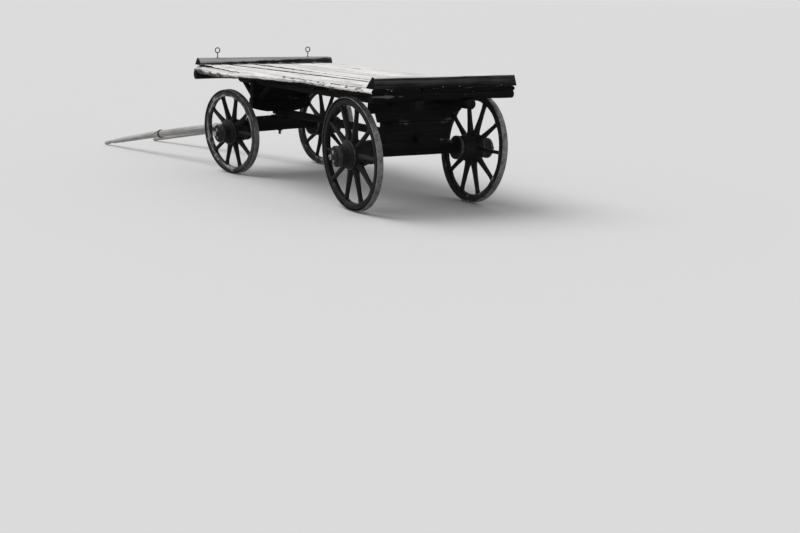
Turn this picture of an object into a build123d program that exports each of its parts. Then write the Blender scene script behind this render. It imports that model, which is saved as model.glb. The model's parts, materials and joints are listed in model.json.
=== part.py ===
from build123d import *
import os
from math import asin, atan, cos, degrees, hypot, radians, sin

# Farm hay wagon: a plank deck on two wooden axles, the front one steering about a kingpin,
# four spoked wheels and a pair of hinged pole shafts. Lengths are in millimetres, angles in degrees.
# The wagon is drawn with x = 0 at the back of the deck, +x to the shafts, +y to the left and z = 0
# on the ground, and is centred over its own length and width at the end.

# Deck: planks sawn from tapering logs, so they are thicker and the deck is wider at the front
deck_length = 3500
deck_half_width = 695
deck_flare = 55
deck_top = 1057
plank_rear_thickness = 40
plank_front_thickness = 62
plank_gap = 6
split_start = 2150
split_width = 16
split_inset = 22

# Rails across the deck ends
rail_foot = 130
rail_crest = 38
rail_lip = 12
rail_overhang = 6
rail_housing = 3
rear_rail_height = 85
rear_rail_crest_rise = 10
rear_rail_left_setback = 15
rear_rail_right_overhang = 19
rear_rail_end_lean = 30
front_rail_height = 62

# Logs and bearers under the deck
rear_log_radius = 35
front_log_radius = 44
middle_log_radius = 34
middle_log_half_length = 560
middle_log_places = (1300, 2350)
log_flat = 4
rear_log_setback = 38
front_log_setback = 50
rear_log_shortfall = 4
front_log_overhang = 25
bearer_radius = 44
bearer_spread = 250
bearer_top = 953
bearer_flat = 4
bearer_rear_end = -8
bearer_front_end = 18
notch_play = 3

# Axles and wheels
rear_axle_x = 475
front_axle_setback = 400
half_track = 612
camber = 3.5
rear_wheel_radius = 480
front_wheel_radius = 420
tyre_width = 55
tyre_thickness = 9
felloe_depth = 60
felloe_width = 52
felloe_count = 5
felloe_facets = 8
felloe_joint = 1.2
spoke_count = 10
spoke_dish = 2.5
spoke_root_width = 46
spoke_root_depth = 58
spoke_tip_share = 0.66
spoke_bevel = 12
spoke_socket = 18
socket_play = 1.2
seat = 0.3

# Hub, measured along its axle from the middle of the rim, inner end negative
hub_sides = 20
hub_inner_end = -195
hub_nose_end = 160
hub_inner_radius = 98
hub_belly_radius = 118
hub_waist_radius = 88
hub_nose_radius = 84
hub_belly_half = 58
hub_shoulder = 26
hub_inner_collar = 40
band_thickness = 5
band_width = 24
band_edge = 4

# Tapered axle arms on the ends of the wooden beams, with as many sides as the hubs
arm_root_radius = 36
arm_tip_radius = 25
arm_root_depth = 60
arm_tip_reach = 48
hub_side_play = 2
washer_thickness = 5
washer_radius = 44
washer_sides = 12
linchpin_width = 16
linchpin_thickness = 10
linchpin_half_length = 52
linchpin_play = 1

# Axle beams, reach pole and bolsters
axle_depth = 96
rear_beam_height = 110
front_beam_height = 146
beam_bevel = 22
reach_bottom = 559
reach_height = 64
reach_width = 78
reach_bevel = 10
reach_tail = 130
reach_nose = 90
reach_let_in = 24
turn_plate_thickness = 6
turn_plate_radius = 90
bolster_depth = 88
bolster_half_length = 322
bolster_lift = 176
bolster_rise = 38
rear_riser_half_lengths = (362, 450)
front_riser_half_lengths = (315, 315)
riser_head = 86
riser_depth = 72
saddle_depth = 32

# Kingpin
kingpin_radius = 13
kingpin_play = 0.08
kingpin_head_radius = 26
kingpin_head_height = 14
kingpin_head_sides = 8
kingpin_tail = 46
kingpin_washer_radius = 32
kingpin_washer_play = 1
kingpin_key_width = 8
kingpin_key_depth = 12

# Braces from the front bolster to the bearers
brace_width = 46
brace_depth = 38
brace_reach = 350
brace_foot_z = 690

# Shafts, hinged in front of the front axle
front_turn = 12.7
shaft_draw_in = 45
shaft_length = 2740
shaft_sides = 16
shaft_butt_radius = 40
shaft_middle_radius = 35
shaft_tip_radius = 23
shaft_bow = 24
shaft_first_knee = 900
shaft_second_knee = 1800
shaft_straight = 30
shaft_pivot_reach = 70
shaft_pivot_z = 470
shaft_eye_radius = 21
shaft_eye_neck = 22
shaft_neck_bevel = 5
shaft_pin_radius = 9
shaft_pin_end = 8
pin_play = 0.08
ferrule_length = 70
ferrule_floor = 6
ear_thickness = 8
ear_gap = 3
ear_nose = 14
ear_nose_half_height = 18
ear_root_half_height = 36
eye_width = 50
bracket_plate_thickness = 6
bracket_plate_half_height = 38
bracket_setback = 4

# Iron eye-bolts on the front rail
eye_bolt_spread = 515
eye_bolt_height = 106
eye_outer_radius = 30
eye_hole_radius = 19
eye_bolt_thickness = 9
eye_stem_width = 8
eye_stem_depth = 48
eye_stem_lap = 5

# Places worked out from the sizes above
front_axle_x = deck_length - front_axle_setback
rear_centre_z = rear_wheel_radius * cos(radians(camber)) + tyre_width / 2 * sin(radians(camber))
front_centre_z = front_wheel_radius * cos(radians(camber)) + tyre_width / 2 * sin(radians(camber))
beam_half_length = half_track + (hub_inner_end - hub_side_play) * cos(radians(camber))
rear_beam_bottom = reach_bottom - rear_beam_height
front_beam_top = reach_bottom - seat - turn_plate_thickness
front_beam_bottom = front_beam_top - front_beam_height
front_bolster_bottom = reach_bottom + reach_height - reach_let_in
bolster_top = reach_bottom + bolster_lift
bearer_z = bearer_top + bearer_flat - bearer_radius
riser_top = bearer_z - bearer_radius + saddle_depth
bracket_half_width = eye_width / 2 + ear_gap + ear_thickness
shaft_spread = beam_half_length - bracket_setback - bracket_half_width
shaft_pivot_x = axle_depth / 2 + shaft_pivot_reach
shaft_reach = hypot(shaft_length, shaft_tip_radius)
shaft_slope = degrees(asin(shaft_pivot_z / shaft_reach) - atan(shaft_tip_radius / shaft_length))

gear = Plane(
    origin=(front_axle_x, 0, 0),
    x_dir=(cos(radians(front_turn)), sin(radians(front_turn)), 0),
    z_dir=(0, 0, 1),
)
chassis = Plane(origin=(0, 0, 0), x_dir=(1, 0, 0), z_dir=(0, 0, 1))

pieces = {}


def keep(piece, label):
    piece.label = label
    pieces[label] = piece


def on(carrier, plane):
    return Plane(carrier.location * plane.location)


def underside(x):
    share = x / deck_length
    return deck_top - plank_rear_thickness - share * (plank_front_thickness - plank_rear_thickness)


def half_width(share):
    return deck_half_width + share * deck_flare


def wheel_plane(carrier, x, side, centre_z):
    down = radians(camber)
    plane = Plane(
        origin=(x, side * half_track, centre_z),
        x_dir=(1, 0, 0),
        z_dir=(0, side * cos(down), -sin(down)),
    )
    return on(carrier, plane)


def along(wheel, reach):
    return Plane(wheel.location * Location((0, 0, reach)))


def around(wheel, angle, radius=0, height=0, lean=0):
    turn = Plane.XY.location * Location((0, 0, height), (0, 0, angle))
    outward = Location((radius, 0, 0), (0, 90 - lean, 0))
    return Plane(wheel.location * turn * outward)


# A flat-sided solid through a row of parallel rings, which all have the same number of corners
def faceted(rings):
    faces = [Face(Wire.make_polygon(ring)) for ring in (rings[0], rings[-1])]
    for low, high in zip(rings, rings[1:]):
        for number in range(len(low)):
            corners = (low[number - 1], low[number], high[number], high[number - 1])
            faces.append(Face(Wire.make_polygon(corners)))
    return Solid(Shell(faces))


def polygon_ring(plane, radius, sides):
    turns = [radians(number * 360 / sides) for number in range(sides)]
    return [plane.from_local_coords((radius * cos(turn), radius * sin(turn), 0)) for turn in turns]


def bevelled_ring(plane, depth, width, bevel):
    flat_x = depth / 2 - bevel
    flat_y = width / 2 - bevel
    quarter = [(depth / 2, flat_y), (flat_x, width / 2)]
    left = [(-x, y) for x, y in reversed(quarter)]
    lower = [(-x, -y) for x, y in quarter + left]
    return [plane.from_local_coords((x, y, 0)) for x, y in quarter + left + lower]


def turned_rings(wheel, sections):
    return [polygon_ring(along(wheel, reach), radius, hub_sides) for reach, radius in sections]


def arm_radius(reach):
    share = (reach - hub_inner_end) / (hub_nose_end + arm_tip_reach - hub_inner_end)
    return arm_root_radius + share * (arm_tip_radius - arm_root_radius)


# Wheel corners: name, carrier, axle x on that carrier, side, wheel radius, centre height
corners = [
    ("rear_left", chassis, rear_axle_x, 1, rear_wheel_radius, rear_centre_z),
    ("rear_right", chassis, rear_axle_x, -1, rear_wheel_radius, rear_centre_z),
    ("front_left", gear, 0, 1, front_wheel_radius, front_centre_z),
    ("front_right", gear, 0, -1, front_wheel_radius, front_centre_z),
]

# Joints between the planks, left to right, as shares of the half width: at the back, at the front.
# The planks are wedges, laid butt to top. Each inner plank's front end stands back by its own amount.
plank_joint_shares = [
    (0.828, 0.833),
    (0.576, 0.706),
    (0.324, 0.573),
    (0.201, 0.187),
    (-0.094, -0.080),
    (-0.388, -0.353),
    (-0.698, -0.640),
]
plank_joints = [(back * half_width(0), front * half_width(1)) for back, front in plank_joint_shares]
plank_stand_backs = [8, 0, 14, 4, 10, 6]

# Waney edge planks, section by section from the back: share of the deck's length; how far the top
# edge, the widest point and the foot stand outside the deck's edge line; drop of the widest point;
# depth of the foot
left_edge_sections = [
    (0, -13, 9, 3, 22, 38),
    (0.17, -14, 12, 4, 24, 42),
    (0.34, -38, -10, -16, 20, 38),
    (0.61, -29, 15, 9, 30, 56),
    (0.83, -25, 35, 25, 46, 90),
    (1, -38, 20, 12, 42, 78),
]
right_edge_sections = [
    (0, -20, 2, -4, 20, 38),
    (0.3, -12, 14, 6, 24, 44),
    (0.66, -30, 6, -2, 26, 50),
    (1, -16, 10, 2, 30, 64),
]
edge_plank_foot_width = 60

# What is cut from the planks: housings for the two rails, and the sloping underside
with BuildPart() as rail_housings:
    for housing_end in (rail_foot + seat, deck_length):
        with BuildSketch(Plane.XY.offset(deck_top - rail_housing)):
            with Locations((housing_end - (rail_foot + seat) / 2, 0)):
                Rectangle(rail_foot + seat, 4 * deck_half_width)
        extrude(amount=2 * rail_housing)

with BuildPart() as underside_wedge:
    with BuildSketch(Plane.XZ.offset(-2 * deck_half_width)):
        with BuildLine():
            Polyline(
                (0, underside(0)),
                (deck_length, underside(deck_length)),
                (deck_length, deck_top - 2 * plank_front_thickness),
                (0, deck_top - 2 * plank_front_thickness),
                close=True,
            )
        make_face()
    extrude(amount=4 * deck_half_width)

with BuildPart() as deck_planks:
    for left, right, stand_back in zip(plank_joints, plank_joints[1:], plank_stand_backs):
        with BuildSketch(Plane.XY.offset(deck_top)):
            with BuildLine():
                Polyline(
                    (0, left[0] - plank_gap / 2),
                    (0, right[0] + plank_gap / 2),
                    (deck_length - stand_back, right[1] + plank_gap / 2),
                    (deck_length - stand_back, left[1] - plank_gap / 2),
                    close=True,
                )
            make_face()
        extrude(amount=-plank_front_thickness)
    add(underside_wedge.part, mode=Mode.SUBTRACT)
    add(rail_housings.part, mode=Mode.SUBTRACT)
keep(deck_planks.part, "deck_planks")

front_log_x = deck_length - front_log_setback
front_log_z = underside(front_log_x) + log_flat - front_log_radius


def build_edge_plank(side, sections, joint):
    with BuildPart() as plank:
        for share, top_edge, widest, foot, drop, depth in sections:
            x = share * deck_length
            line = half_width(share)
            inner = side * (joint[0] + share * (joint[1] - joint[0])) + plank_gap / 2
            with BuildSketch(Plane.YZ.offset(x)):
                with BuildLine():
                    Polyline(
                        (side * inner, deck_top),
                        (side * (line + top_edge), deck_top),
                        (side * (line + widest), deck_top - drop),
                        (side * (line + foot), deck_top - depth),
                        (side * (line + foot - edge_plank_foot_width), underside(x)),
                        (side * inner, underside(x)),
                        close=True,
                    )
                make_face()
        loft(ruled=True)
        add(rail_housings.part, mode=Mode.SUBTRACT)
        with BuildSketch(Plane.XZ.offset(-2 * deck_half_width)):
            with Locations((front_log_x, front_log_z)):
                Circle(front_log_radius + seat)
            with Locations((front_log_x, underside(front_log_x) + front_log_radius)):
                Rectangle(3 * front_log_radius, 2 * front_log_radius, mode=Mode.SUBTRACT)
        extrude(amount=4 * deck_half_width, mode=Mode.SUBTRACT)
    return plank.part


# The left edge plank has a long end split, open at the front
with BuildPart() as left_edge_plank:
    add(build_edge_plank(1, left_edge_sections, plank_joints[0]))
    with BuildSketch(Plane.XY.offset(deck_top)):
        split_line = deck_half_width + deck_flare - split_inset
        with BuildLine():
            Polyline(
                (split_start, split_line - split_width),
                (deck_length, split_line - split_width),
                (deck_length, split_line),
                close=True,
            )
        make_face()
    extrude(amount=-2 * plank_front_thickness, mode=Mode.SUBTRACT)
keep(left_edge_plank.part, "left_edge_plank")
keep(build_edge_plank(-1, right_edge_sections, plank_joints[-1]), "right_edge_plank")

# Rails across the deck ends, upright outside and bevelled inside, let into the planks. The rear
# one rises to its crest, lies a little to the right and has its right end sawn at a slant.
rear_rail_left = deck_half_width - rear_rail_left_setback
rear_rail_right = deck_half_width + rear_rail_right_overhang
rear_rail_top = deck_top + rear_rail_height
slant_top = rear_rail_top + rail_foot
slant_reach = rear_rail_end_lean * (slant_top - deck_top) / (rear_rail_height + rear_rail_crest_rise)
with BuildPart() as rear_rail:
    with BuildSketch(Plane.XZ.offset(-rear_rail_left)):
        with BuildLine():
            Polyline(
                (0, deck_top - rail_housing),
                (rail_foot, deck_top - rail_housing),
                (rail_foot, deck_top),
                (rail_foot - rail_lip, deck_top + rail_lip),
                (rail_crest, rear_rail_top + rear_rail_crest_rise),
                (0, rear_rail_top),
                close=True,
            )
        make_face()
    extrude(amount=rear_rail_left + rear_rail_right)
    with BuildSketch(Plane.YZ):
        with BuildLine():
            Polyline(
                (-rear_rail_right, deck_top),
                (-rear_rail_right, slant_top),
                (-rear_rail_right + slant_reach, slant_top),
                close=True,
            )
        make_face()
    extrude(amount=rail_foot, mode=Mode.SUBTRACT)
keep(rear_rail.part, "rear_rail")

# The front rail's bevel starts low at its left end and high at its right: side, share of the height
front_rail_bevels = [(1, 0.30), (-1, 0.97)]
front_rail_half_length = half_width(1) + rail_overhang
with BuildPart() as front_rail:
    for side, bevel_start in front_rail_bevels:
        with BuildSketch(Plane.XZ.offset(-side * front_rail_half_length)):
            with BuildLine():
                Polyline(
                    (deck_length, deck_top - rail_housing),
                    (deck_length - rail_foot, deck_top - rail_housing),
                    (deck_length - rail_foot, deck_top + front_rail_height * bevel_start),
                    (deck_length - rail_crest, deck_top + front_rail_height),
                    (deck_length, deck_top + front_rail_height),
                    close=True,
                )
            make_face()
    loft(ruled=True)
    with BuildSketch(Plane.XY.offset(deck_top + front_rail_height)):
        with Locations(*[(deck_length - rail_crest / 2, side * eye_bolt_spread) for side in (1, -1)]):
            Rectangle(eye_stem_width + 2 * seat, eye_stem_width + 2 * seat)
    extrude(amount=-eye_stem_depth - seat, mode=Mode.SUBTRACT)
keep(front_rail.part, "front_rail")

# Iron eye-bolts with square stems, let into the front rail
eye_x = deck_length - rail_crest / 2
eye_z = deck_top + front_rail_height + eye_bolt_height - eye_outer_radius
with BuildPart() as eye_bolts:
    with BuildSketch(Plane.YZ.offset(eye_x - eye_bolt_thickness / 2)):
        with Locations(*[(side * eye_bolt_spread, eye_z) for side in (1, -1)]):
            Circle(eye_outer_radius)
            Circle(eye_hole_radius, mode=Mode.SUBTRACT)
    extrude(amount=eye_bolt_thickness)
    stem_bottom = deck_top + front_rail_height - eye_stem_depth
    with BuildSketch(Plane.XY.offset(stem_bottom)):
        with Locations(*[(eye_x, side * eye_bolt_spread) for side in (1, -1)]):
            Rectangle(eye_stem_width, eye_stem_width)
    extrude(amount=eye_z - eye_outer_radius + eye_stem_lap - stem_bottom)
keep(eye_bolts.part, "eye_bolts")


# Cross logs, flattened above for the planks and notched below over the bearers
def build_cross_logs(places, radius, half_length):
    with BuildPart() as logs:
        for x in places:
            with BuildSketch(Plane.XZ.offset(-half_length)):
                with Locations((x, underside(x) + log_flat - radius)):
                    Circle(radius)
                with Locations((x, underside(x) - seat + radius)):
                    Rectangle(2 * radius, 2 * radius, mode=Mode.SUBTRACT)
            extrude(amount=2 * half_length)
            with Locations(*[(x, side * bearer_spread, bearer_top) for side in (1, -1)]):
                Box(
                    2 * radius + 2 * notch_play,
                    2 * bearer_radius + 2 * notch_play,
                    2 * radius,
                    align=(Align.CENTER, Align.CENTER, Align.MAX),
                    mode=Mode.SUBTRACT,
                )
    return logs.part


# Label, places along the deck, radius, half length
cross_logs = [
    ("rear_cross_log", (rear_log_setback,), rear_log_radius, half_width(0) - rear_log_shortfall),
    ("front_cross_log", (front_log_x,), front_log_radius, half_width(1) + front_log_overhang),
    ("middle_cross_logs", middle_log_places, middle_log_radius, middle_log_half_length),
]
for label, places, radius, half_length in cross_logs:
    keep(build_cross_logs(places, radius, half_length), label)

# Two round bearers run the length of the wagon, hewn flat on top
with BuildPart() as bearers:
    for side in (1, -1):
        with BuildSketch(Plane.YZ.offset(bearer_rear_end)):
            with Locations((side * bearer_spread, bearer_z)):
                Circle(bearer_radius)
            with Locations((side * bearer_spread, bearer_top + bearer_radius)):
                Rectangle(2 * bearer_radius, 2 * bearer_radius, mode=Mode.SUBTRACT)
        extrude(amount=deck_length - bearer_front_end - bearer_rear_end)
keep(bearers.part, "bearers")

arm_ends = (hub_inner_end - arm_root_depth, hub_nose_end + arm_tip_reach)
washer_reach = hub_nose_end + hub_side_play
linchpin_reach = washer_reach + washer_thickness + linchpin_play + linchpin_thickness / 2


# Axle beam with its tapered arms, a linchpin hole through the end of each
def build_axle(carrier, axle_x, centre_z, bottom, top):
    with BuildPart() as axle:
        with BuildSketch(on(carrier, Plane.YZ.offset(axle_x - axle_depth / 2))):
            with BuildLine():
                Polyline(
                    (-beam_half_length, bottom + beam_bevel / 2),
                    (-beam_half_length + beam_bevel, bottom),
                    (beam_half_length - beam_bevel, bottom),
                    (beam_half_length, bottom + beam_bevel / 2),
                    (beam_half_length, top - beam_bevel),
                    (beam_half_length - 2 * beam_bevel, top),
                    (-beam_half_length + 2 * beam_bevel, top),
                    (-beam_half_length, top - beam_bevel),
                    close=True,
                )
            make_face()
        extrude(amount=axle_depth)
        for side in (1, -1):
            wheel = wheel_plane(carrier, axle_x, side, centre_z)
            add(faceted(turned_rings(wheel, [(reach, arm_radius(reach)) for reach in arm_ends])))
            hole_start = Location((0, -arm_root_radius, linchpin_reach), (-90, 0, 0))
            with BuildSketch(Plane(wheel.location * hole_start)):
                Rectangle(linchpin_width + 2 * seat, linchpin_thickness + 2 * seat)
            extrude(amount=2 * arm_root_radius, mode=Mode.SUBTRACT)
    return axle.part


# Forged washers and flat linchpins
def build_linchpins(carrier, axle_x, centre_z):
    with BuildPart() as linchpins:
        for side in (1, -1):
            wheel = wheel_plane(carrier, axle_x, side, centre_z)
            with BuildSketch(along(wheel, washer_reach)):
                RegularPolygon(washer_radius, washer_sides)
                RegularPolygon(
                    arm_radius(washer_reach) + seat,
                    washer_sides,
                    major_radius=False,
                    mode=Mode.SUBTRACT,
                )
            extrude(amount=washer_thickness)
            pin_start = Location((0, -linchpin_half_length, linchpin_reach), (-90, 0, 0))
            with BuildSketch(Plane(wheel.location * pin_start)):
                Rectangle(linchpin_width, linchpin_thickness)
            extrude(amount=2 * linchpin_half_length)
    return linchpins.part


keep(build_axle(chassis, rear_axle_x, rear_centre_z, rear_beam_bottom, reach_bottom), "rear_axle")
keep(build_linchpins(chassis, rear_axle_x, rear_centre_z), "rear_linchpins")
keep(build_linchpins(gear, 0, front_centre_z), "front_linchpins")

with BuildPart() as front_axle:
    add(build_axle(gear, 0, front_centre_z, front_beam_bottom, front_beam_top))
    with BuildSketch(Plane(origin=(front_axle_x, 0, front_beam_bottom))):
        Circle(kingpin_radius + kingpin_play)
    extrude(amount=front_beam_height, mode=Mode.SUBTRACT)
keep(front_axle.part, "front_axle")

with BuildPart() as turn_plate:
    with BuildSketch(Plane(origin=(front_axle_x, 0, front_beam_top))):
        Circle(turn_plate_radius)
        Rectangle(axle_depth, 2 * turn_plate_radius, mode=Mode.INTERSECT, rotation=front_turn)
        Circle(kingpin_radius + kingpin_play, mode=Mode.SUBTRACT)
    extrude(amount=turn_plate_thickness)
keep(turn_plate.part, "turn_plate")

# Reach pole from the back axle to the kingpin, square with bevelled corners
with BuildPart() as reach_pole:
    with BuildSketch(Plane.YZ.offset(rear_axle_x - reach_tail)):
        with Locations((0, reach_bottom + reach_height / 2)):
            Rectangle(reach_width, reach_height)
    extrude(amount=front_axle_x - rear_axle_x + reach_tail + reach_nose)
    chamfer(reach_pole.edges().filter_by(Axis.X), reach_bevel)
    with BuildSketch(Plane(origin=(front_axle_x, 0, reach_bottom))):
        Circle(kingpin_radius + seat)
    extrude(amount=reach_height, mode=Mode.SUBTRACT)
keep(reach_pole.part, "reach_pole")

# Bolsters: label, x, underside at the middle, underside at the ends
bolsters = [
    ("rear_bolster", rear_axle_x, reach_bottom, reach_bottom),
    ("front_bolster", front_axle_x, front_bolster_bottom, front_bolster_bottom + bolster_rise),
]
for label, bolster_x, middle_z, end_z in bolsters:
    with BuildPart() as bolster:
        with BuildSketch(Plane.YZ.offset(bolster_x - bolster_depth / 2)):
            with BuildLine():
                Polyline(
                    (-bolster_half_length, end_z),
                    (-bolster_half_length / 2, middle_z),
                    (bolster_half_length / 2, middle_z),
                    (bolster_half_length, end_z),
                    (bolster_half_length, bolster_top),
                    (-bolster_half_length, bolster_top),
                    close=True,
                )
            make_face()
        extrude(amount=bolster_depth)
        with BuildSketch(Plane.YZ.offset(bolster_x - bolster_depth)):
            with Locations((0, reach_bottom + reach_height / 2)):
                Rectangle(reach_width + 2 * seat, reach_height + 2 * seat)
        extrude(amount=2 * bolster_depth, mode=Mode.SUBTRACT)
        if bolster_x == front_axle_x:
            with BuildSketch(Plane(origin=(front_axle_x, 0, reach_bottom))):
                Circle(kingpin_radius + seat)
            extrude(amount=bolster_top - reach_bottom, mode=Mode.SUBTRACT)
            with BuildSketch(Plane(origin=(front_axle_x, 0, bolster_top))):
                RegularPolygon(kingpin_head_radius + seat, kingpin_head_sides)
            extrude(amount=-kingpin_head_height - seat, mode=Mode.SUBTRACT)
    keep(bolster.part, label)

# Risers between bolsters and bearers, with a saddle under each bearer; the rear one's head is
# longer than its foot
for label, riser_x, (foot_half, head_half) in (
    ("rear_riser", rear_axle_x, rear_riser_half_lengths),
    ("front_riser", front_axle_x, front_riser_half_lengths),
):
    with BuildPart() as riser:
        with BuildSketch(Plane.YZ.offset(riser_x - riser_depth / 2)):
            with Locations((0, (bolster_top + riser_top) / 2)):
                Rectangle(2 * foot_half, riser_top - bolster_top)
            with Locations((0, riser_top - riser_head / 2)):
                Rectangle(2 * head_half, riser_head)
            with Locations(*[(side * bearer_spread, bearer_z) for side in (1, -1)]):
                Circle(bearer_radius + seat, mode=Mode.SUBTRACT)
        extrude(amount=riser_depth)
    keep(riser.part, label)

# Kingpin: head let into the bolster, washer and key below the front axle
kingpin_bottom = front_beam_bottom - kingpin_tail
kingpin_washer_top = front_beam_bottom - kingpin_washer_play
with BuildPart() as kingpin:
    with BuildSketch(Plane(origin=(front_axle_x, 0, kingpin_bottom))):
        Circle(kingpin_radius)
    extrude(amount=bolster_top - kingpin_bottom)
    with BuildSketch(Plane(origin=(front_axle_x, 0, bolster_top))):
        RegularPolygon(kingpin_head_radius, kingpin_head_sides)
    extrude(amount=-kingpin_head_height)
    with BuildSketch(Plane(origin=(front_axle_x, 0, kingpin_washer_top))):
        RegularPolygon(kingpin_washer_radius, kingpin_head_sides)
    extrude(amount=-washer_thickness)
    with BuildSketch(Plane(origin=(front_axle_x, 0, kingpin_washer_top - washer_thickness))):
        Rectangle(2 * kingpin_washer_radius, kingpin_key_width)
    extrude(amount=-kingpin_key_depth)
keep(kingpin.part, "kingpin")


# Shafts: one carrier plane each, at the hinge pin, x along the shaft, y to the left
def shaft_plane(side):
    hinge = Location((shaft_pivot_x, side * shaft_spread, shaft_pivot_z))
    droop = Location((0, 0, 0), (0, shaft_slope, 0))
    return Plane(gear.location * hinge * droop)


def across(carrier, reach, sideways=0, upward=0):
    return Plane(carrier.location * Location((reach, sideways, upward)) * Plane.YZ.location)


ferrule_start = shaft_eye_radius + shaft_eye_neck
butt_end = ferrule_start + ferrule_floor + seat
bend_start = ferrule_start + ferrule_length + shaft_straight
# Sections of the shaved pole: distance from the hinge, share of the sideways bow, share of the
# upward bow, radius
shaft_sections = [
    (butt_end, 0, 0, shaft_butt_radius),
    (bend_start, 0, 0, shaft_butt_radius),
    (shaft_first_knee, 0.8, 0.5, shaft_butt_radius - 1),
    (shaft_second_knee, 1, 0.7, shaft_middle_radius),
    (shaft_length, 0, 0, shaft_tip_radius),
]


def build_shaft(side):
    carrier = shaft_plane(side)
    rings = []
    for reach, sideways, upward, radius in shaft_sections:
        draw_in = shaft_draw_in * max(0, reach - bend_start) / shaft_length
        offset = side * (sideways * shaft_bow - draw_in)
        rings.append(polygon_ring(across(carrier, reach, offset, upward * shaft_bow), radius, shaft_sides))
    return faceted(rings)


def build_shaft_iron(side):
    carrier = shaft_plane(side)
    with BuildPart() as iron:
        with BuildSketch(on(carrier, Plane.XZ.offset(-eye_width / 2))):
            Circle(shaft_eye_radius)
            with Locations((ferrule_start / 2, 0)):
                Rectangle(ferrule_start, 2 * (shaft_eye_radius - shaft_neck_bevel))
            Circle(shaft_pin_radius + pin_play, mode=Mode.SUBTRACT)
        extrude(amount=eye_width)
        with BuildSketch(across(carrier, ferrule_start)):
            RegularPolygon(shaft_butt_radius + seat + band_thickness, shaft_sides)
        extrude(amount=ferrule_length)
        with BuildSketch(across(carrier, ferrule_start + ferrule_floor)):
            RegularPolygon(shaft_butt_radius + seat, shaft_sides)
        extrude(amount=ferrule_length, mode=Mode.SUBTRACT)
    return iron.part


for side, name in ((1, "left"), (-1, "right")):
    keep(build_shaft(side), name + "_shaft")
    keep(build_shaft_iron(side), name + "_shaft_eye")

# Shaft brackets: two ears each side of a shaft's eye, on a plate against the front axle
bracket_back = axle_depth / 2
with BuildPart() as shaft_brackets:
    for side in (1, -1):
        with BuildSketch(on(gear, Plane.YZ.offset(bracket_back))):
            with Locations((side * shaft_spread, shaft_pivot_z)):
                Rectangle(2 * bracket_half_width, 2 * bracket_plate_half_height)
        extrude(amount=bracket_plate_thickness)
        for ear_side in (-1, 1):
            ear_y = side * shaft_spread + ear_side * (bracket_half_width - ear_thickness / 2)
            with BuildSketch(on(gear, Plane.XZ.offset(-ear_y - ear_thickness / 2))):
                with BuildLine():
                    Polyline(
                        (bracket_back, shaft_pivot_z - ear_root_half_height),
                        (shaft_pivot_x + ear_nose, shaft_pivot_z - ear_nose_half_height),
                        (shaft_pivot_x + ear_nose, shaft_pivot_z + ear_nose_half_height),
                        (bracket_back, shaft_pivot_z + ear_root_half_height),
                        close=True,
                    )
                make_face()
                with Locations((shaft_pivot_x, shaft_pivot_z)):
                    Circle(shaft_pin_radius + seat, mode=Mode.SUBTRACT)
            extrude(amount=ear_thickness)
keep(shaft_brackets.part, "shaft_brackets")

with BuildPart() as shaft_pins:
    for side in (1, -1):
        pin_half = bracket_half_width + shaft_pin_end
        with BuildSketch(on(gear, Plane.XZ.offset(-side * shaft_spread - pin_half))):
            with Locations((shaft_pivot_x, shaft_pivot_z)):
                Circle(shaft_pin_radius)
        extrude(amount=2 * pin_half)
keep(shaft_pins.part, "shaft_pins")

# Hewn braces under the bearers, one forward and one back from each end of the front bolster
with BuildPart() as bolster_braces:
    for side in (1, -1):
        for way in (1, -1):
            foot = Vector(front_axle_x, side * bearer_spread, brace_foot_z)
            head = Vector(front_axle_x + way * brace_reach, side * bearer_spread, bearer_z)
            with BuildSketch(Plane(origin=foot, x_dir=(0, 1, 0), z_dir=head - foot)):
                Rectangle(brace_width, brace_depth)
            extrude(amount=(head - foot).length)
    with Locations((front_axle_x, 0, deck_top)):
        Box(
            bolster_depth + 2 * seat,
            2 * bolster_half_length + 2 * seat,
            deck_top,
            align=(Align.CENTER, Align.CENTER, Align.MAX),
            mode=Mode.SUBTRACT,
        )
    with BuildSketch(Plane.YZ):
        with Locations(*[(side * bearer_spread, bearer_z) for side in (1, -1)]):
            Circle(bearer_radius + seat)
        with Locations((0, bearer_z + bearer_radius)):
            Rectangle(4 * bearer_spread, 2 * bearer_radius)
    extrude(amount=deck_length + brace_reach, mode=Mode.SUBTRACT)
keep(bolster_braces.part, "bolster_braces")


# Wheels. A spoke leans by the dish, so its foot dips into the socket by this much at one edge
foot_dip = spoke_root_depth / 2 * sin(radians(spoke_dish))
spoke_start = hub_belly_radius - spoke_socket + foot_dip + seat
spoke_turns = [number * 360 / spoke_count for number in range(spoke_count)]


def build_hub(wheel, root_height):
    # Hub sections: distance along the axle, radius
    hub_sections = [
        (hub_inner_end, hub_inner_radius),
        (hub_inner_end + hub_inner_collar, hub_inner_radius),
        (root_height - hub_belly_half, hub_belly_radius),
        (root_height + hub_belly_half, hub_belly_radius),
        (root_height + hub_belly_half + hub_shoulder, hub_waist_radius),
        (hub_nose_end, hub_nose_radius),
    ]
    flat_share = cos(radians(180 / hub_sides))
    hub_ends = (hub_inner_end, hub_nose_end)
    bore_sections = [(reach, (arm_radius(reach) + seat) / flat_share) for reach in hub_ends]
    with BuildPart() as hub:
        add(faceted(turned_rings(wheel, hub_sections)))
        add(faceted(turned_rings(wheel, bore_sections)), mode=Mode.SUBTRACT)
        socket_floor = hub_belly_radius - spoke_socket
        with BuildSketch(*[around(wheel, turn, socket_floor, root_height) for turn in spoke_turns]):
            Rectangle(spoke_root_depth + 2 * socket_play, spoke_root_width + 2 * seat)
        extrude(amount=2 * spoke_socket, mode=Mode.SUBTRACT)
    return hub.part


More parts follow.
